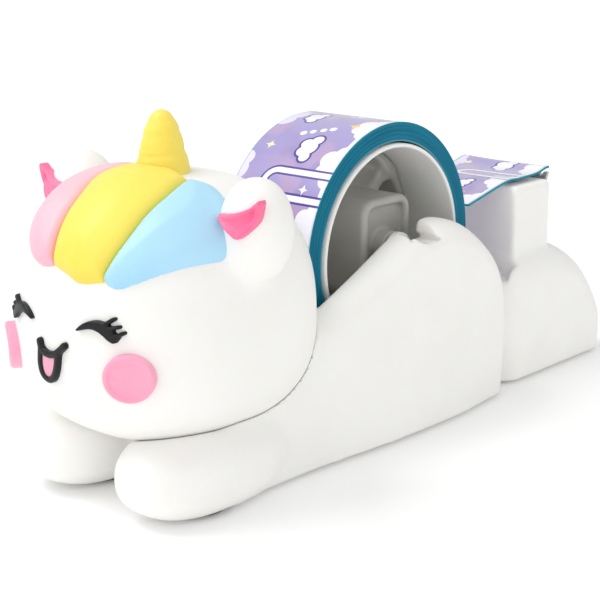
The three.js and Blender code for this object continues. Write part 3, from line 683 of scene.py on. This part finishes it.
# Reaches run to the side, front, back, top and bottom.
HEAD_REACH = (19.8, 23.2, 21.0, 22.6, 16.8)
HEAD_FULLNESS = 2.45
EAR_REACH = (5.2, 5.2, 5.2, 7.4, 7.4)
EAR_FULLNESS = 2.1
EAR_X = 18.2
EAR_Y = HEAD_Y - 0.8
EAR_Z = HEAD_Z + 16.3


def head_ball(x, y, z):
    return egg(x, y - HEAD_Y, z - HEAD_Z, HEAD_REACH, HEAD_FULLNESS)


def ear_ball(x, y, z):
    return egg(np.abs(x) - EAR_X, y - EAR_Y, z - EAR_Z, EAR_REACH, EAR_FULLNESS)


def roll_room(x, y, z, radius, half, round_mm):
    sweep = np.hypot(y, np.minimum(z - AXIS_Z, 0)) - radius
    return both(sweep, np.abs(x) - half, round_mm)


def head_shape(x, y, z):
    whole = either(head_ball(x, y, z), ear_ball(x, y, z), 1.8)
    return without(whole, roll_room(x, y, z, WELL_RADIUS, WELL_HALF, 0.5), 0.6)


low = (-25.5, HEAD_Y - 24.5, HEAD_Z - 18)
high = (25.5, HEAD_Y + 22, HEAD_Z + 25.5)
settle(
    cast("head", head_shape, low, high, 0.5, body_white),
    "root", "body_white", "head_shell",
)


EAR_INSERT = np.vstack([
    through([(-2.1, 2.8), (0.6, 3.2), (2.9, 4.1), (4.7, 5.4)], 5),
    through([(4.9, 4.9), (4.3, 2.8), (3.2, 1.0), (1.9, -0.2)], 5),
    through([(1.4, -0.2), (0.2, 0.5), (-1.2, 1.5), (-2.2, 2.4)], 5),
])


def ear_dish(x, y, z):
    """A dished, three-cornered insert standing on the front of an ear."""
    flat = outline_distance(np.abs(x) - EAR_X, z - EAR_Z, EAR_INSERT)
    dip = step_between(-flat, 0.2, 1.3)
    front = np.minimum(EAR_Y - 4.9 + 0.9 * dip - y, ear_ball(x, y, z) - 1.1 + 0.7 * dip)
    plate = both(flat, front, 0.3)
    return np.maximum(plate, y - EAR_Y + 3.2)


for side_name, side in (("left", 1), ("right", -1)):
    low = (min(side * 12.5, side * 25), EAR_Y - 9, EAR_Z - 5)
    high = (max(side * 12.5, side * 25), EAR_Y + 1, EAR_Z + 9)
    settle(
        cast(f"ear_insert_{side_name}", ear_dish, low, high, 0.22, ear_pink),
        "root", "ear_pink", f"ear_inner_{side_name}",
    )

# ---------- horn ----------

HORN_LOW, HORN_HIGH = span("horn")
HORN_Y = HEAD_Y - 1.3
HORN_TOP = HORN_HIGH[2]
HORN_RADIUS = (HORN_HIGH[0] - HORN_LOW[0]) / 2 - 0.45


# Share of the height, share of the radius.
HORN_PROFILE = through([
    (0.0, 1.0), (0.12, 1.0), (0.3, 0.95), (0.48, 0.84), (0.54, 0.78),
    (0.7, 0.68), (0.84, 0.53), (0.93, 0.36), (0.98, 0.2), (1.0, 0.001),
], 12)
HORN_ROLLS = (HEAD_Z + 25.2, HEAD_Z + 28.0, HEAD_Z + 29.9)


def horn_points(around=72):
    """A blunt cone, its soft rolls climbing a little as they go round."""
    base = HEAD_Z + 22.6 - 3
    points = []
    for rise, wide in HORN_PROFILE:
        z = base + (HORN_TOP - base) * rise
        for j in range(around):
            angle = 2 * math.pi * j / around
            climb = z - 0.4 * math.sin(angle + 0.9)
            groove = sum(math.exp(-((climb - at) / 0.5) ** 2) for at in HORN_ROLLS)
            radius = max((HORN_RADIUS - 0.2 * groove) * wide, 0.001)
            points.append((radius * math.cos(angle), HORN_Y + radius * math.sin(angle), z))
    return points, len(HORN_PROFILE), around


def tube_faces(rows, around):
    faces = []
    for i in range(rows - 1):
        for j in range(around):
            a = i * around + j
            b = i * around + (j + 1) % around
            faces.append((a, b, b + around, a + around))
    faces.append(tuple(reversed(range(around))))
    faces.append(tuple(range((rows - 1) * around, rows * around)))
    return faces


points, rows, around = horn_points()
settle(
    new_piece("horn", points, tube_faces(rows, around), [horn_yellow], 70.0),
    "root", "horn_yellow", "horn",
)

# ---------- hair ----------

LEAN = math.radians(38)
PARTING_PINK = [(-2.6, 12.5), (-4.6, 9), (-4.8, 5.4), (-3.4, 1.1), (-2.6, -3.5), (-1.8, -7), (-1, -9.6)]
PARTING_BLUE = [(7.4, 11.2), (8.8, 6), (9.2, 1), (9.2, -3.6), (8.2, -9.6)]
PINK_EDGE = [
    (-1, -9.6), (-4, -9.8), (-7.6, -8.2), (-11, -4),
    (-12.8, 1), (-12, 6.4), (-8.4, 11.4), (-2.6, 12.5),
]
YELLOW_LOW = [(-1, -9.6), (1.6, -10.2), (4.6, -10.8), (8.2, -9.6)]
YELLOW_TOP = [(7.4, 11.2), (3, 12.6), (-2.6, 12.5)]
BLUE_EDGE = [
    (8.2, -9.6), (10.2, -9.5), (12.5, -7.3), (15.2, -3.1), (17.2, 1.9),
    (17.6, 6.6), (15.2, 9.8), (12, 11.8), (10, 12.4), (7.4, 11.2),
]
pink_outline = np.vstack([through(PARTING_PINK), through(PINK_EDGE)[1:-1]])
yellow_outline = np.vstack([
    through(PARTING_PINK),
    through(YELLOW_LOW)[1:-1],
    through(PARTING_BLUE[::-1]),
    through(YELLOW_TOP)[1:-1],
])
blue_outline = np.vstack([through(PARTING_BLUE), through(BLUE_EDGE)[1:-1]])


def lock(outline, inset, puff):
    def shape(x, y, z):
        down = (y - HEAD_Y) * math.cos(LEAN) + (z - HEAD_Z) * math.sin(LEAN)
        out = (z - HEAD_Z) * math.cos(LEAN) - (y - HEAD_Y) * math.sin(LEAN)
        flat = outline_distance(x, down, outline) + inset
        skin = head_ball(x, y, z)
        swell = puff * step_between(-flat, 0.0, 5.0)
        pillow = both(flat, skin - 1.5 - swell, 1.3)
        solid = np.maximum(np.maximum(pillow, -skin - 0.4), 2 - out)
        solid = without(solid, bar(x, y - HORN_Y, HORN_RADIUS + 0.15), 0.4)
        return np.maximum(solid, -0.1 - ear_ball(x, y, z))
    return shape


for name, outline, inset, puff, finish in (
    ("pink", pink_outline, 0.12, 0.9, hair_pink),
    ("yellow", yellow_outline, 0.12, 1.0, hair_yellow),
    ("blue", blue_outline, 0.12, 0.9, hair_blue),
):
    low = (outline[:, 0].min() - 1, HEAD_Y - 25, HEAD_Z + 2)
    high = (outline[:, 0].max() + 1, HEAD_Y + 14, HEAD_Z + 28)
    settle(
        cast(f"hair_lock_{name}", lock(outline, inset, puff), low, high, 0.4, finish),
        "root", f"hair_{name}", f"hair_lock_{name}",
    )

# ---------- face ----------

FACE_SHIFT = 0.6
FACE_STEP = 0.13  # mesh step of the fine lines
EYE_INNER = 4.5
EYE_Z = HEAD_Z + 4.1
LID_TOP = [(0, 0.05), (1.1, 1.0), (2.5, 1.6), (3.7, 1.6), (4.6, 1.2), (5.5, 0.4)]
LID_LOW = [(6.2, -0.6), (5.7, -1.3), (4.9, -0.9), (4.2, -0.3), (3.2, 0.25), (2.1, 0.35), (0.2, -0.15)]
LASHES = [((4.3, 1.2), (5.4, 2.0)), ((5.0, 0.7), (6.05, 0.95)), ((5.6, -0.5), (6.65, 0.15))]


def stroke_distance(a, b, start, end, half):
    ax, ay = start
    bx, by = end
    size = (bx - ax) ** 2 + (by - ay) ** 2
    t = np.clip(((a - ax) * (bx - ax) + (b - ay) * (by - ay)) / size, 0, 1)
    return np.hypot(a - ax - t * (bx - ax), b - ay - t * (by - ay)) - half


def raised(flat, skin, height, round_mm):
    """A thin form that stands on the head."""
    return np.maximum(both(flat, skin - height, round_mm), -skin - 0.4)


def eye_shape(x, y, z):
    across = np.abs(x - FACE_SHIFT) - EYE_INNER
    up = z - EYE_Z
    lid = np.vstack([through(LID_TOP, 5), through(LID_LOW, 5)])
    flat = outline_distance(across, up, lid)
    for start, end in LASHES:
        flat = either(flat, stroke_distance(across, up, start, end, 0.27), 0.35)
    return np.maximum(raised(flat, head_ball(x, y, z), 0.75, 0.32), y - HEAD_Y)


for side_name, side in (("left", 1), ("right", -1)):
    low = (FACE_SHIFT + min(side * 3.8, side * 12), HEAD_Y - 26, EYE_Z - 3)
    high = (FACE_SHIFT + max(side * 3.8, side * 12), HEAD_Y - 12, EYE_Z + 3)
    settle(
        cast(f"eye_{side_name}", eye_shape, low, high, FACE_STEP, face_black),
        "root", "face_black", f"eye_{side_name}",
    )

SMILE_Z = HEAD_Z - 0.2
SMILE = through([
    (-2.3, 1.4), (-1.95, 0.4), (-1.1, -0.1), (0, -0.2), (1.1, 0.15), (2.0, 0.8), (2.9, 1.6),
], 4)
LIP = through([
    (-2.1, 0.1), (-2.3, -2.0), (-1.95, -3.5), (-0.8, -4.1), (0.35, -3.4), (1.15, -1.9), (1.6, 0.2),
], 5)


def strip_distance(a, b, path, half):
    found = stroke_distance(a, b, path[0], path[1], half)
    for start, end in zip(path[1:-1], path[2:]):
        found = np.minimum(found, stroke_distance(a, b, start, end, half))
    return found


def mouth_shape(x, y, z):
    up = z - SMILE_Z
    flat = either(strip_distance(x, up, SMILE, 0.5), strip_distance(x, up, LIP, 0.5), 0.3)
    return np.maximum(raised(flat, head_ball(x, y, z), 0.75, 0.34), y - HEAD_Y)


def tongue_shape(x, y, z):
    up = z - SMILE_Z
    inside = np.vstack([LIP, SMILE[::-1][7:-5]])
    flat = outline_distance(x, up, inside) + 0.35
    return np.maximum(raised(flat, head_ball(x, y, z), 0.45, 0.2), y - HEAD_Y)


face_low = (-4, HEAD_Y - 25.5, SMILE_Z - 6)
face_high = (4.2, HEAD_Y - 20, SMILE_Z + 3.4)
settle(
    cast("mouth_outline", mouth_shape, face_low, face_high, FACE_STEP, face_black),
    "root", "face_black", "mouth_outline",
)
settle(
    cast("tongue", tongue_shape, face_low, face_high, FACE_STEP, tongue_pink),
    "root", "tongue_pink", "tongue",
)

CHEEK_TURN = math.radians(35)
CHEEK_RADIUS = 3.7
CHEEK_LIFT = 1.5


def cheek_shape(x, y, z):
    a = np.abs(x) - 0.8
    b = y - HEAD_Y + 3.6
    across = a * math.cos(CHEEK_TURN) + b * math.sin(CHEEK_TURN)
    front = a * math.sin(CHEEK_TURN) - b * math.cos(CHEEK_TURN)
    flat = np.hypot(across, 1.06 * (z - HEAD_Z + 2.1)) - CHEEK_RADIUS
    skin = head_ball(x, y, z)
    button = both(flat, skin - CHEEK_LIFT + 0.3 * step_between(-flat, 0.6, 1.1), 0.5)
    return np.maximum(np.maximum(button, -skin - 0.4), 2 - front)


for side_name, side in (("left", 1), ("right", -1)):
    low = (min(side * 6, side * 20), HEAD_Y - 26, HEAD_Z - 7)
    high = (max(side * 6, side * 20), HEAD_Y - 8, HEAD_Z + 3)
    settle(
        cast(f"cheek_{side_name}", cheek_shape, low, high, 0.22, cheek_pink),
        "root", "cheek_pink", f"cheek_{side_name}",
    )

# ---------- body ----------

FLANK = through([
    (-46, -2), (-47.5, 8), (-44, 17), (-36, 22), (-28, 23.4), (-21.4, 25.5),
    (-13.6, 28.9), (-7.4, 31.9), (-2.6, 34), (3, 35.1), (6.8, 35.3), (13.2, 33.4),
    (19.8, 29.5), (24.8, 24.9), (27.4, 19.1), (28.2, 12), (27.8, 5), (26.8, -2),
])
RUMP = through([
    (30, -3), (27.4, 10), (30, 22), (38, 24.4), (46.3, 24.2),
    (55.8, 19.6), (62.3, 12.4), (64.8, 6.4), (64.2, -3),
])
MOUTH = np.vstack([
    [(-3.4, 39.5)],
    through([(-2.4, 34.3), (-1.4, 33.1), (0.4, 32.4)], 4),
    [(4.2, 32.5), (2.6, 33.6), (2.7, 34.4)],
    through([(2.9, 35.4), (4.6, 37.3)], 3),
    [(5.5, 39.5)],
])
HAUNCH_HALF = 17
HAUNCH_ROUND = 4.2
RUMP_HALF = 13.8
RUMP_ROUND = 6.2
PAW_X, PAW_Y, PAW_Z = 10.5, -45.9, 6.6
PAW_REACH = (8.2, 14.5, 14.5, 6.6, 6.9)
PAW_FULLNESS = 2.4
AXLE_BORE = 2.25
SLOT_REACH = 15.0
CHANNEL_LOW = 19.6
COVER_HALF = 10.8
COVER_FRONT = -36.0
COVER_REAR = 48.0
COVER_TOP = 2.2
LEDGE = 1.6
POST_FRONT = 33.6
POST_HALF = 11.2
POST_ROUND = 1.1
POST_FOOT = 12
POST_REAR = span("cutter_blade")[0][1] - AXIS_Y - GAP
POST_TOP = span("body_shell")[1][2]
HOLLOW_TOP = 6.8
BOSSES = [(6.2, -31.0), (-6.2, -31.0), (6.2, 28.6), (-6.2, 28.6)]
BOSS_RADIUS = 2.6
PILOT_RADIUS = 1.4
PILOT_TOP = 5.9
REAR_ROOM = (-9.2, 9.2, 31.5, 46.4)  # x and y of the room for the ballast block
REAR_ROOM_TOP = 14.1
BLADE_SCREWS = (5.5, -5.5)
BLADE_SCREW_DROP = 5.4
BLADE_SCREW_DEPTH = 5.3
PADS = []  # name, middle x and y, radius, top
for name in sorted(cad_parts):
    if name.startswith("foot_pad"):
        low, high = span(name)
        middle = (low + high) / 2
        PADS.append((name, middle[0], middle[1] - AXIS_Y, (high[0] - low[0]) / 2, high[2]))


def body_shape(x, y, z):
    aside = np.abs(x)
    half = HAUNCH_HALF - 1.8 * step_between(-y, 0, 32) - 1.6 * step_between(y, 8, 28.2)
    flank = both(outline_distance(y, z, FLANK), aside - half, HAUNCH_ROUND)
    rump = both(outline_distance(y, z, RUMP), aside - RUMP_HALF, RUMP_ROUND)
    paws = egg(aside - PAW_X, y - PAW_Y, z - PAW_Z, PAW_REACH, PAW_FULLNESS)
    post = rectangle(x, y, -POST_HALF, POST_HALF, POST_FRONT, POST_REAR, POST_ROUND)
    post = np.maximum(both(post, z - POST_TOP, POST_ROUND), POST_FOOT - z)
    whole = either(either(flank, rump, 1.2), paws, 1.6)
    whole = either(whole, post, 1.0)
    whole = np.maximum(whole, PAD_PROUD - z)
    whole = without(whole, head_ball(x, y, z) - 0.04, 0.6)
    whole = without(whole, roll_room(x, y, z, WELL_RADIUS, WELL_HALF, 0.6), 0.9)
    behind_roll = rectangle(y, z, 11.1, POST_FRONT, CHANNEL_LOW, 90, 0.5)
    channel = np.maximum(np.maximum(aside - WELL_HALF, CHANNEL_LOW - z), behind_roll)
    whole = without(whole, channel, 0.9)
    whole = without(whole, outline_distance(y - 0.8, z + 0.3, MOUTH), 0.5)
    groove = np.maximum(np.hypot(y, np.minimum(z - AXIS_Z, 0)) - AXLE_BORE, aside - SLOT_REACH)
    whole = without(whole, groove, 0.3)
    seat = rectangle(x, y, -COVER_HALF, COVER_HALF, COVER_FRONT, COVER_REAR, 4)
    cover = np.maximum(seat, z - COVER_TOP - GAP)
    inner_half = COVER_HALF - LEDGE
    inside = rectangle(x, y, -inner_half, inner_half, COVER_FRONT + LEDGE, COVER_REAR - LEDGE, 2.4)
    hollow = np.maximum(inside, z - HOLLOW_TOP)
    rear = np.maximum(rectangle(x, y, *REAR_ROOM, 2.4), z - REAR_ROOM_TOP)
    for bx, by in BOSSES:
        reach = np.hypot(x - bx, y - by)
        hollow = np.maximum(hollow, BOSS_RADIUS - reach)
        hollow = np.minimum(hollow, np.maximum(reach - PILOT_RADIUS, z - PILOT_TOP))
    whole = without(whole, np.minimum(np.minimum(cover, hollow), rear), 0.15)
    for _, px, py, radius, top in PADS:
        pocket = np.maximum(np.hypot(x - px, y - py) - radius - GAP, z - top - GAP)
        whole = without(whole, pocket, 0.2)
    for bx in BLADE_SCREWS:
        reach = np.hypot(x - bx, z - POST_TOP + BLADE_SCREW_DROP)
        hole = np.maximum(reach - PILOT_RADIUS, POST_REAR - BLADE_SCREW_DEPTH - y)
        whole = without(whole, hole, 0.2)
    return whole


settle(
    cast("body", body_shape, (-19.5, -62, -0.4), (19.5, 66, 38.5), 0.5, body_white),
    "root", "body_white", "body_shell",
)

# ---------- feet, axle, washers ----------


def foot(name, x, y, radius, top):
    """A stick-on rubber pad with a rolled edge."""
    edge = 0.45
    section = [(0.02, 0.0)]
    for t in np.linspace(0, math.pi / 2, 6):
        section.append((radius - edge + edge * math.sin(t), edge - edge * math.cos(t)))
    section += [(radius, top - 0.1), (radius - 0.1, top), (0.02, top)]
    around = 64
    points = [
        (x + r * math.cos(2 * math.pi * j / around), y + r * math.sin(2 * math.pi * j / around), z)
        for r, z in section for j in range(around)
    ]
    piece = new_piece(f"{name}_soft", points, tube_faces(len(section), around), [foot_pad_rubber], 40.0)
    return settle(piece, "root", "foot_rubber", name)


for pad in PADS:
    foot(*pad)

axle_half = (axle_high[0] - axle_low[0]) / 2
axle_radius = (axle_high[2] - axle_low[2]) / 2
AXLE_EDGE = 0.5
axle_section = [(0.02, -axle_half)]
for t in np.linspace(0, math.pi / 2, 6):
    r = axle_radius - AXLE_EDGE + AXLE_EDGE * math.sin(t)
    axle_section.append((r, -axle_half + AXLE_EDGE - AXLE_EDGE * math.cos(t)))
axle_section += [(r, -x) for r, x in reversed(axle_section)]
settle(
    turned("hub_axle_frosted", axle_section, 48, [axle_frosted]),
    "carriage", "axle_frosted", "hub_axle",
)
for side_name in ("left", "right"):
    low, high = span(f"axle_washer_{side_name}")
    section = ring_section(axle_radius + GAP, (high[2] - low[2]) / 2, low[0], high[0], 0.25)
    settle(
        turned(f"washer_{side_name}", section, 64, [washer_white]), "carriage", "washer_white",
        f"axle_washer_{side_name}",
    )

# ---------- tape roll ----------

core_section = ring_section(CORE_OUTER - CORE_WALL, CORE_OUTER, -CORE_HALF, CORE_HALF, 0.35)
settle(turned("tape_core_ring", core_section, 128, [core_white]), "roll", "core_white", "tape_core")


def wound_tape():
    """The wound tape: flat edges with a fine step at each turn, and the print on the outside."""
    inner = CORE_OUTER + GAP
    turns = 9
    pitch = (ROLL_RADIUS - inner) / turns
    edge = []
    for k in range(turns):
        r = inner + k * pitch
        tuck = 0.045 if k % 2 else 0.0
        face = TAPE_HALF - tuck
        edge += [(r + 0.02, face - 0.03), (r + 0.07, face), (r + pitch - 0.05, face)]
    edge += [(ROLL_RADIUS - 0.08, TAPE_HALF), (ROLL_RADIUS, TAPE_HALF - 0.08)]
    section = [(r, -x) for r, x in reversed(edge)] + edge
    section = section[::-1]
    sides = 180
    outer = [i for i, (r, x) in enumerate(section) if abs(r - ROLL_RADIUS) < 1e-9]
    printed = max(outer)
    piece = turned(
        "wound_tape", section, sides, [roll_edge, roll_print], lambda j: int(j == printed), 30.0,
    )
    mesh = piece.data
    layer = mesh.uv_layers.new(name="print")
    rows = len(section)
    for polygon in mesh.polygons:
        step = polygon.vertices[0] // rows, polygon.vertices[3] // rows
        wraps = abs(step[0] - step[1]) > 1
        for loop in polygon.loop_indices:
            vertex = mesh.loops[loop].vertex_index
            turn = vertex // rows
            if wraps and turn == 0:
                turn = sides
            across = section[vertex % rows][1]
            layer.data[loop].uv = (across / 100, (turn / sides * 2 * math.pi * ROLL_RADIUS + 40) / 100)
    return settle(piece, "roll", "tape_print", "tape_roll")


wound_tape()


def tape_end():
    """The free end of the tape: off the back of the roll, over the post and cut to the blade's teeth."""
    run = through([
        (ROLL_RADIUS + 0.7, AXIS_Z + 4),
        (POST_FRONT - 1, POST_TOP + 0.75),
        (POST_FRONT + 4, POST_TOP + 0.8),
        (POST_REAR - 2.4, POST_TOP + 0.95),
        (POST_REAR + 0.6, POST_TOP + 1.6),
        (POST_REAR + 2, POST_TOP + 1.65),
    ], 8)
    lengths = np.concatenate([[0], np.cumsum(np.hypot(*np.diff(run, axis=0).T))])
    pitch = 1.3
    columns = np.linspace(-TAPE_HALF, TAPE_HALF, 121)
    tooth = np.abs(((columns / pitch) % 1) - 0.5) * 2 * 0.8
    thick = 0.2
    points = []
    maps = []
    for row, ((y, z), along) in enumerate(zip(run, lengths)):
        ahead = run[min(row + 1, len(run) - 1)]
        behind = run[max(row - 1, 0)]
        way = (ahead - behind) / np.linalg.norm(ahead - behind)
        last = step_between(row, len(run) - 4, len(run) - 1)
        for x, cut_back in zip(columns, tooth):
            slip = -cut_back * last
            bow = 0.35 * step_between(along, 4, 22) * (x / TAPE_HALF) ** 2
            py = y + way[0] * slip
            pz = z + way[1] * slip + bow * 0.6
            points.append((x, py - way[1] * thick, pz + way[0] * thick))
            points.append((x, py + way[1] * thick, pz - way[0] * thick))
            maps.append((x / 100, (along + slip + 12) / 100))
            maps.append((x / 100, (along + slip + 12) / 100))
    count = len(columns)
    faces = []
    marks = []

    def at(row, column, under):
        return (row * count + column) * 2 + under

    ring = ((0, 0), (0, 1), (1, 1), (1, 0))
    for row in range(len(run) - 1):
        for column in range(count - 1):
            faces.append(tuple(at(row + r, column + c, 0) for r, c in ring))
            faces.append(tuple(at(row + r, column + c, 1) for c, r in ring))
            marks += [1, 1]
        for column, turn in ((0, 1), (count - 1, -1)):
            quad = (at(row, column, 0), at(row + 1, column, 0), at(row + 1, column, 1), at(row, column, 1))
            faces.append(quad[::turn])
            marks.append(0)
    for row, turn in ((0, -1), (len(run) - 1, 1)):
        for column in range(count - 1):
            quad = (at(row, column, 0), at(row, column + 1, 0), at(row, column + 1, 1), at(row, column, 1))
            faces.append(quad[::turn])
            marks.append(0)
    piece = new_piece("tape_end", points, faces, [roll_edge, tail_print], 30.0)
    mesh = piece.data
    layer = mesh.uv_layers.new(name="print")
    for polygon, mark in zip(mesh.polygons, marks):
        polygon.material_index = mark
        for loop in polygon.loop_indices:
            layer.data[loop].uv = maps[mesh.loops[loop].vertex_index]
    return settle(piece, "root", "tape_print", "tape_tail")


tape_end()

# ---------- hub ----------

HUB_OUTER = CORE_OUTER - CORE_WALL - GAP
hub_low, hub_high = span("hub_wheel")
BOSS_HALF = (hub_high[0] - hub_low[0]) / 2
HUB_START = -TAPE_HALF + 0.2
HUB_END = HUB_START + 9.5
HUB_SPOKES = 4
HUB_BOSS_RADIUS = 3.0
RIM_HALF_WALL = 0.8
SPOKE_HALF = 1.3
BLOCK_HALF = BOSS_HALF - 1.2
BLOCK_SIDES = (-6.2, 6.2, -8.5, 8.5)
BLOCK_CORNER = 2.6
POCKET_SIDES = (-4.8, 4.8, -7.1, 7.1)
POCKET_CORNER = 1.6
POCKET_DEPTH = 1.3


def hub_shape(x, y, z):
    up = z - AXIS_Z
    radius = np.hypot(y, up)
    between = np.abs(x - (HUB_START + HUB_END) / 2) - (HUB_END - HUB_START) / 2
    rim = both(np.abs(radius - HUB_OUTER + RIM_HALF_WALL) - RIM_HALF_WALL, between, 0.5)
    block_end = np.abs(x) - BLOCK_HALF
    block = both(rectangle(y, up, *BLOCK_SIDES, BLOCK_CORNER), block_end, 0.9)
    pocket = rectangle(y, up, *POCKET_SIDES, POCKET_CORNER)
    pocket = both(pocket, BLOCK_HALF - POCKET_DEPTH - np.abs(x), 0.3)
    block = without(block, pocket, 0.5)
    boss = both(radius - HUB_BOSS_RADIUS, np.abs(x) - BOSS_HALF, 0.3)
    spokes = None
    for k in range(HUB_SPOKES // 2):
        angle = (k + 0.5) * 2 * math.pi / HUB_SPOKES
        aside = y * math.cos(angle) + up * math.sin(angle)
        arm = both(np.abs(aside) - SPOKE_HALF, between + 0.5, 0.8)
        arm = np.maximum(arm, radius - HUB_OUTER + RIM_HALF_WALL)
        spokes = arm if spokes is None else either(spokes, arm, 1.5)
    whole = either(either(rim, spokes, 2.6), block, 1.6)
    whole = either(whole, boss, 0.6)
    whole = np.maximum(whole, radius - HUB_OUTER)
    return np.maximum(whole, AXLE_BORE - radius)


low = (-11, -17, AXIS_Z - 17)
high = (11, 17, AXIS_Z + 17)
settle(
    cast("hub_wheel_frosted", hub_shape, low, high, 0.35, hub_frosted),
    "roll", "hub_frosted", "hub_wheel",
)

# ---------- carried-over rigid parts ----------

KEPT = {
    "base_cover": base_white,
    "base_screw_1": screw_steel,
    "base_screw_2": screw_steel,
    "base_screw_3": screw_steel,
    "base_screw_4": screw_steel,
    "blade_screw_1": screw_steel,
    "blade_screw_2": screw_steel,
    "cutter_blade": blade_steel,
    "ballast_plate": ballast_steel,
    "ballast_block": ballast_steel,
}
for node, finish in KEPT.items():
    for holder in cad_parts[node].material_slots:
        holder.material = finish

# ---------- stage ----------

floor_mesh = bpy.data.meshes.new("floor")
reach = 3.0
floor_corners = [(-reach, -reach, 0), (reach, -reach, 0), (reach, reach, 0), (-reach, reach, 0)]
floor_mesh.from_pydata(floor_corners, [], [(0, 1, 2, 3)])
floor_paint = Paint("floor_white", Roughness=0.6, Specular_IOR_Level=0.2, Emission_Strength=1.0)
floor_spot = floor_paint.place_mm()
floor_grain = floor_paint.noise(floor_spot, 0.02, 3.0)
floor_x, floor_y, _ = floor_paint.split(floor_spot)
# Painted light: the floor glows, dimly near the middle and more brightly further out.
sweep = floor_paint.fade(floor_paint.length(floor_x, floor_y), 120.0, 600.0)
floor_mesh.materials.append(floor_paint.feed(
    Base_Color=floor_paint.mix(floor_grain, tint("f6f6f6"), tint("fafafa")),
    Emission_Color=floor_paint.mix(sweep, (0.1, 0.1, 0.1, 1.0), (0.42, 0.42, 0.42, 1.0)),
))
floor = bpy.data.objects.new("floor", floor_mesh)
bpy.context.scene.collection.objects.link(floor)
floor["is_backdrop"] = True

world = bpy.data.worlds.new("studio")
world.use_nodes = True
world.node_tree.nodes["Background"].inputs["Color"].default_value = (1.0, 1.0, 1.0, 1.0)
world.node_tree.nodes["Background"].inputs["Strength"].default_value = 0.74
bpy.context.scene.world = world


def softbox(name, spot, size, power, aim):
    lamp = bpy.data.lights.new(name, "AREA")
    lamp.shape = "SQUARE"
    lamp.size = size
    lamp.energy = power
    holder = bpy.data.objects.new(name, lamp)
    holder.location = spot
    holder.rotation_euler = (Vector(aim) - Vector(spot)).to_track_quat("-Z", "Y").to_euler()
    bpy.context.scene.collection.objects.link(holder)


softbox("key_light", (-0.3, -0.35, 0.8), 0.45, 3.2, (0, 0, 0.02))
softbox("fill_light", (0.7, -0.4, 0.35), 0.5, 0.4, (0, 0, 0.03))
softbox("front_light", (0.1, -0.9, 0.35), 0.5, 0.8, (0, 0, 0.03))

azimuth = math.radians(41.43)
elevation = math.radians(14.93)
back = Vector((
    math.sin(azimuth) * math.cos(elevation),
    -math.cos(azimuth) * math.cos(elevation),
    math.sin(elevation),
))
lens = bpy.data.cameras.new("camera")
lens.lens = 92.4
lens.sensor_width = 36.0
camera = bpy.data.objects.new("camera", lens)
camera.location = (0.161887, -0.195486 + AXIS_Y * MM, 0.087829)
camera.rotation_euler = (-back).to_track_quat("-Z", "Y").to_euler()
bpy.context.scene.collection.objects.link(camera)
bpy.context.scene.camera = camera
bpy.context.scene.view_settings.view_transform = "Standard"

low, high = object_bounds()
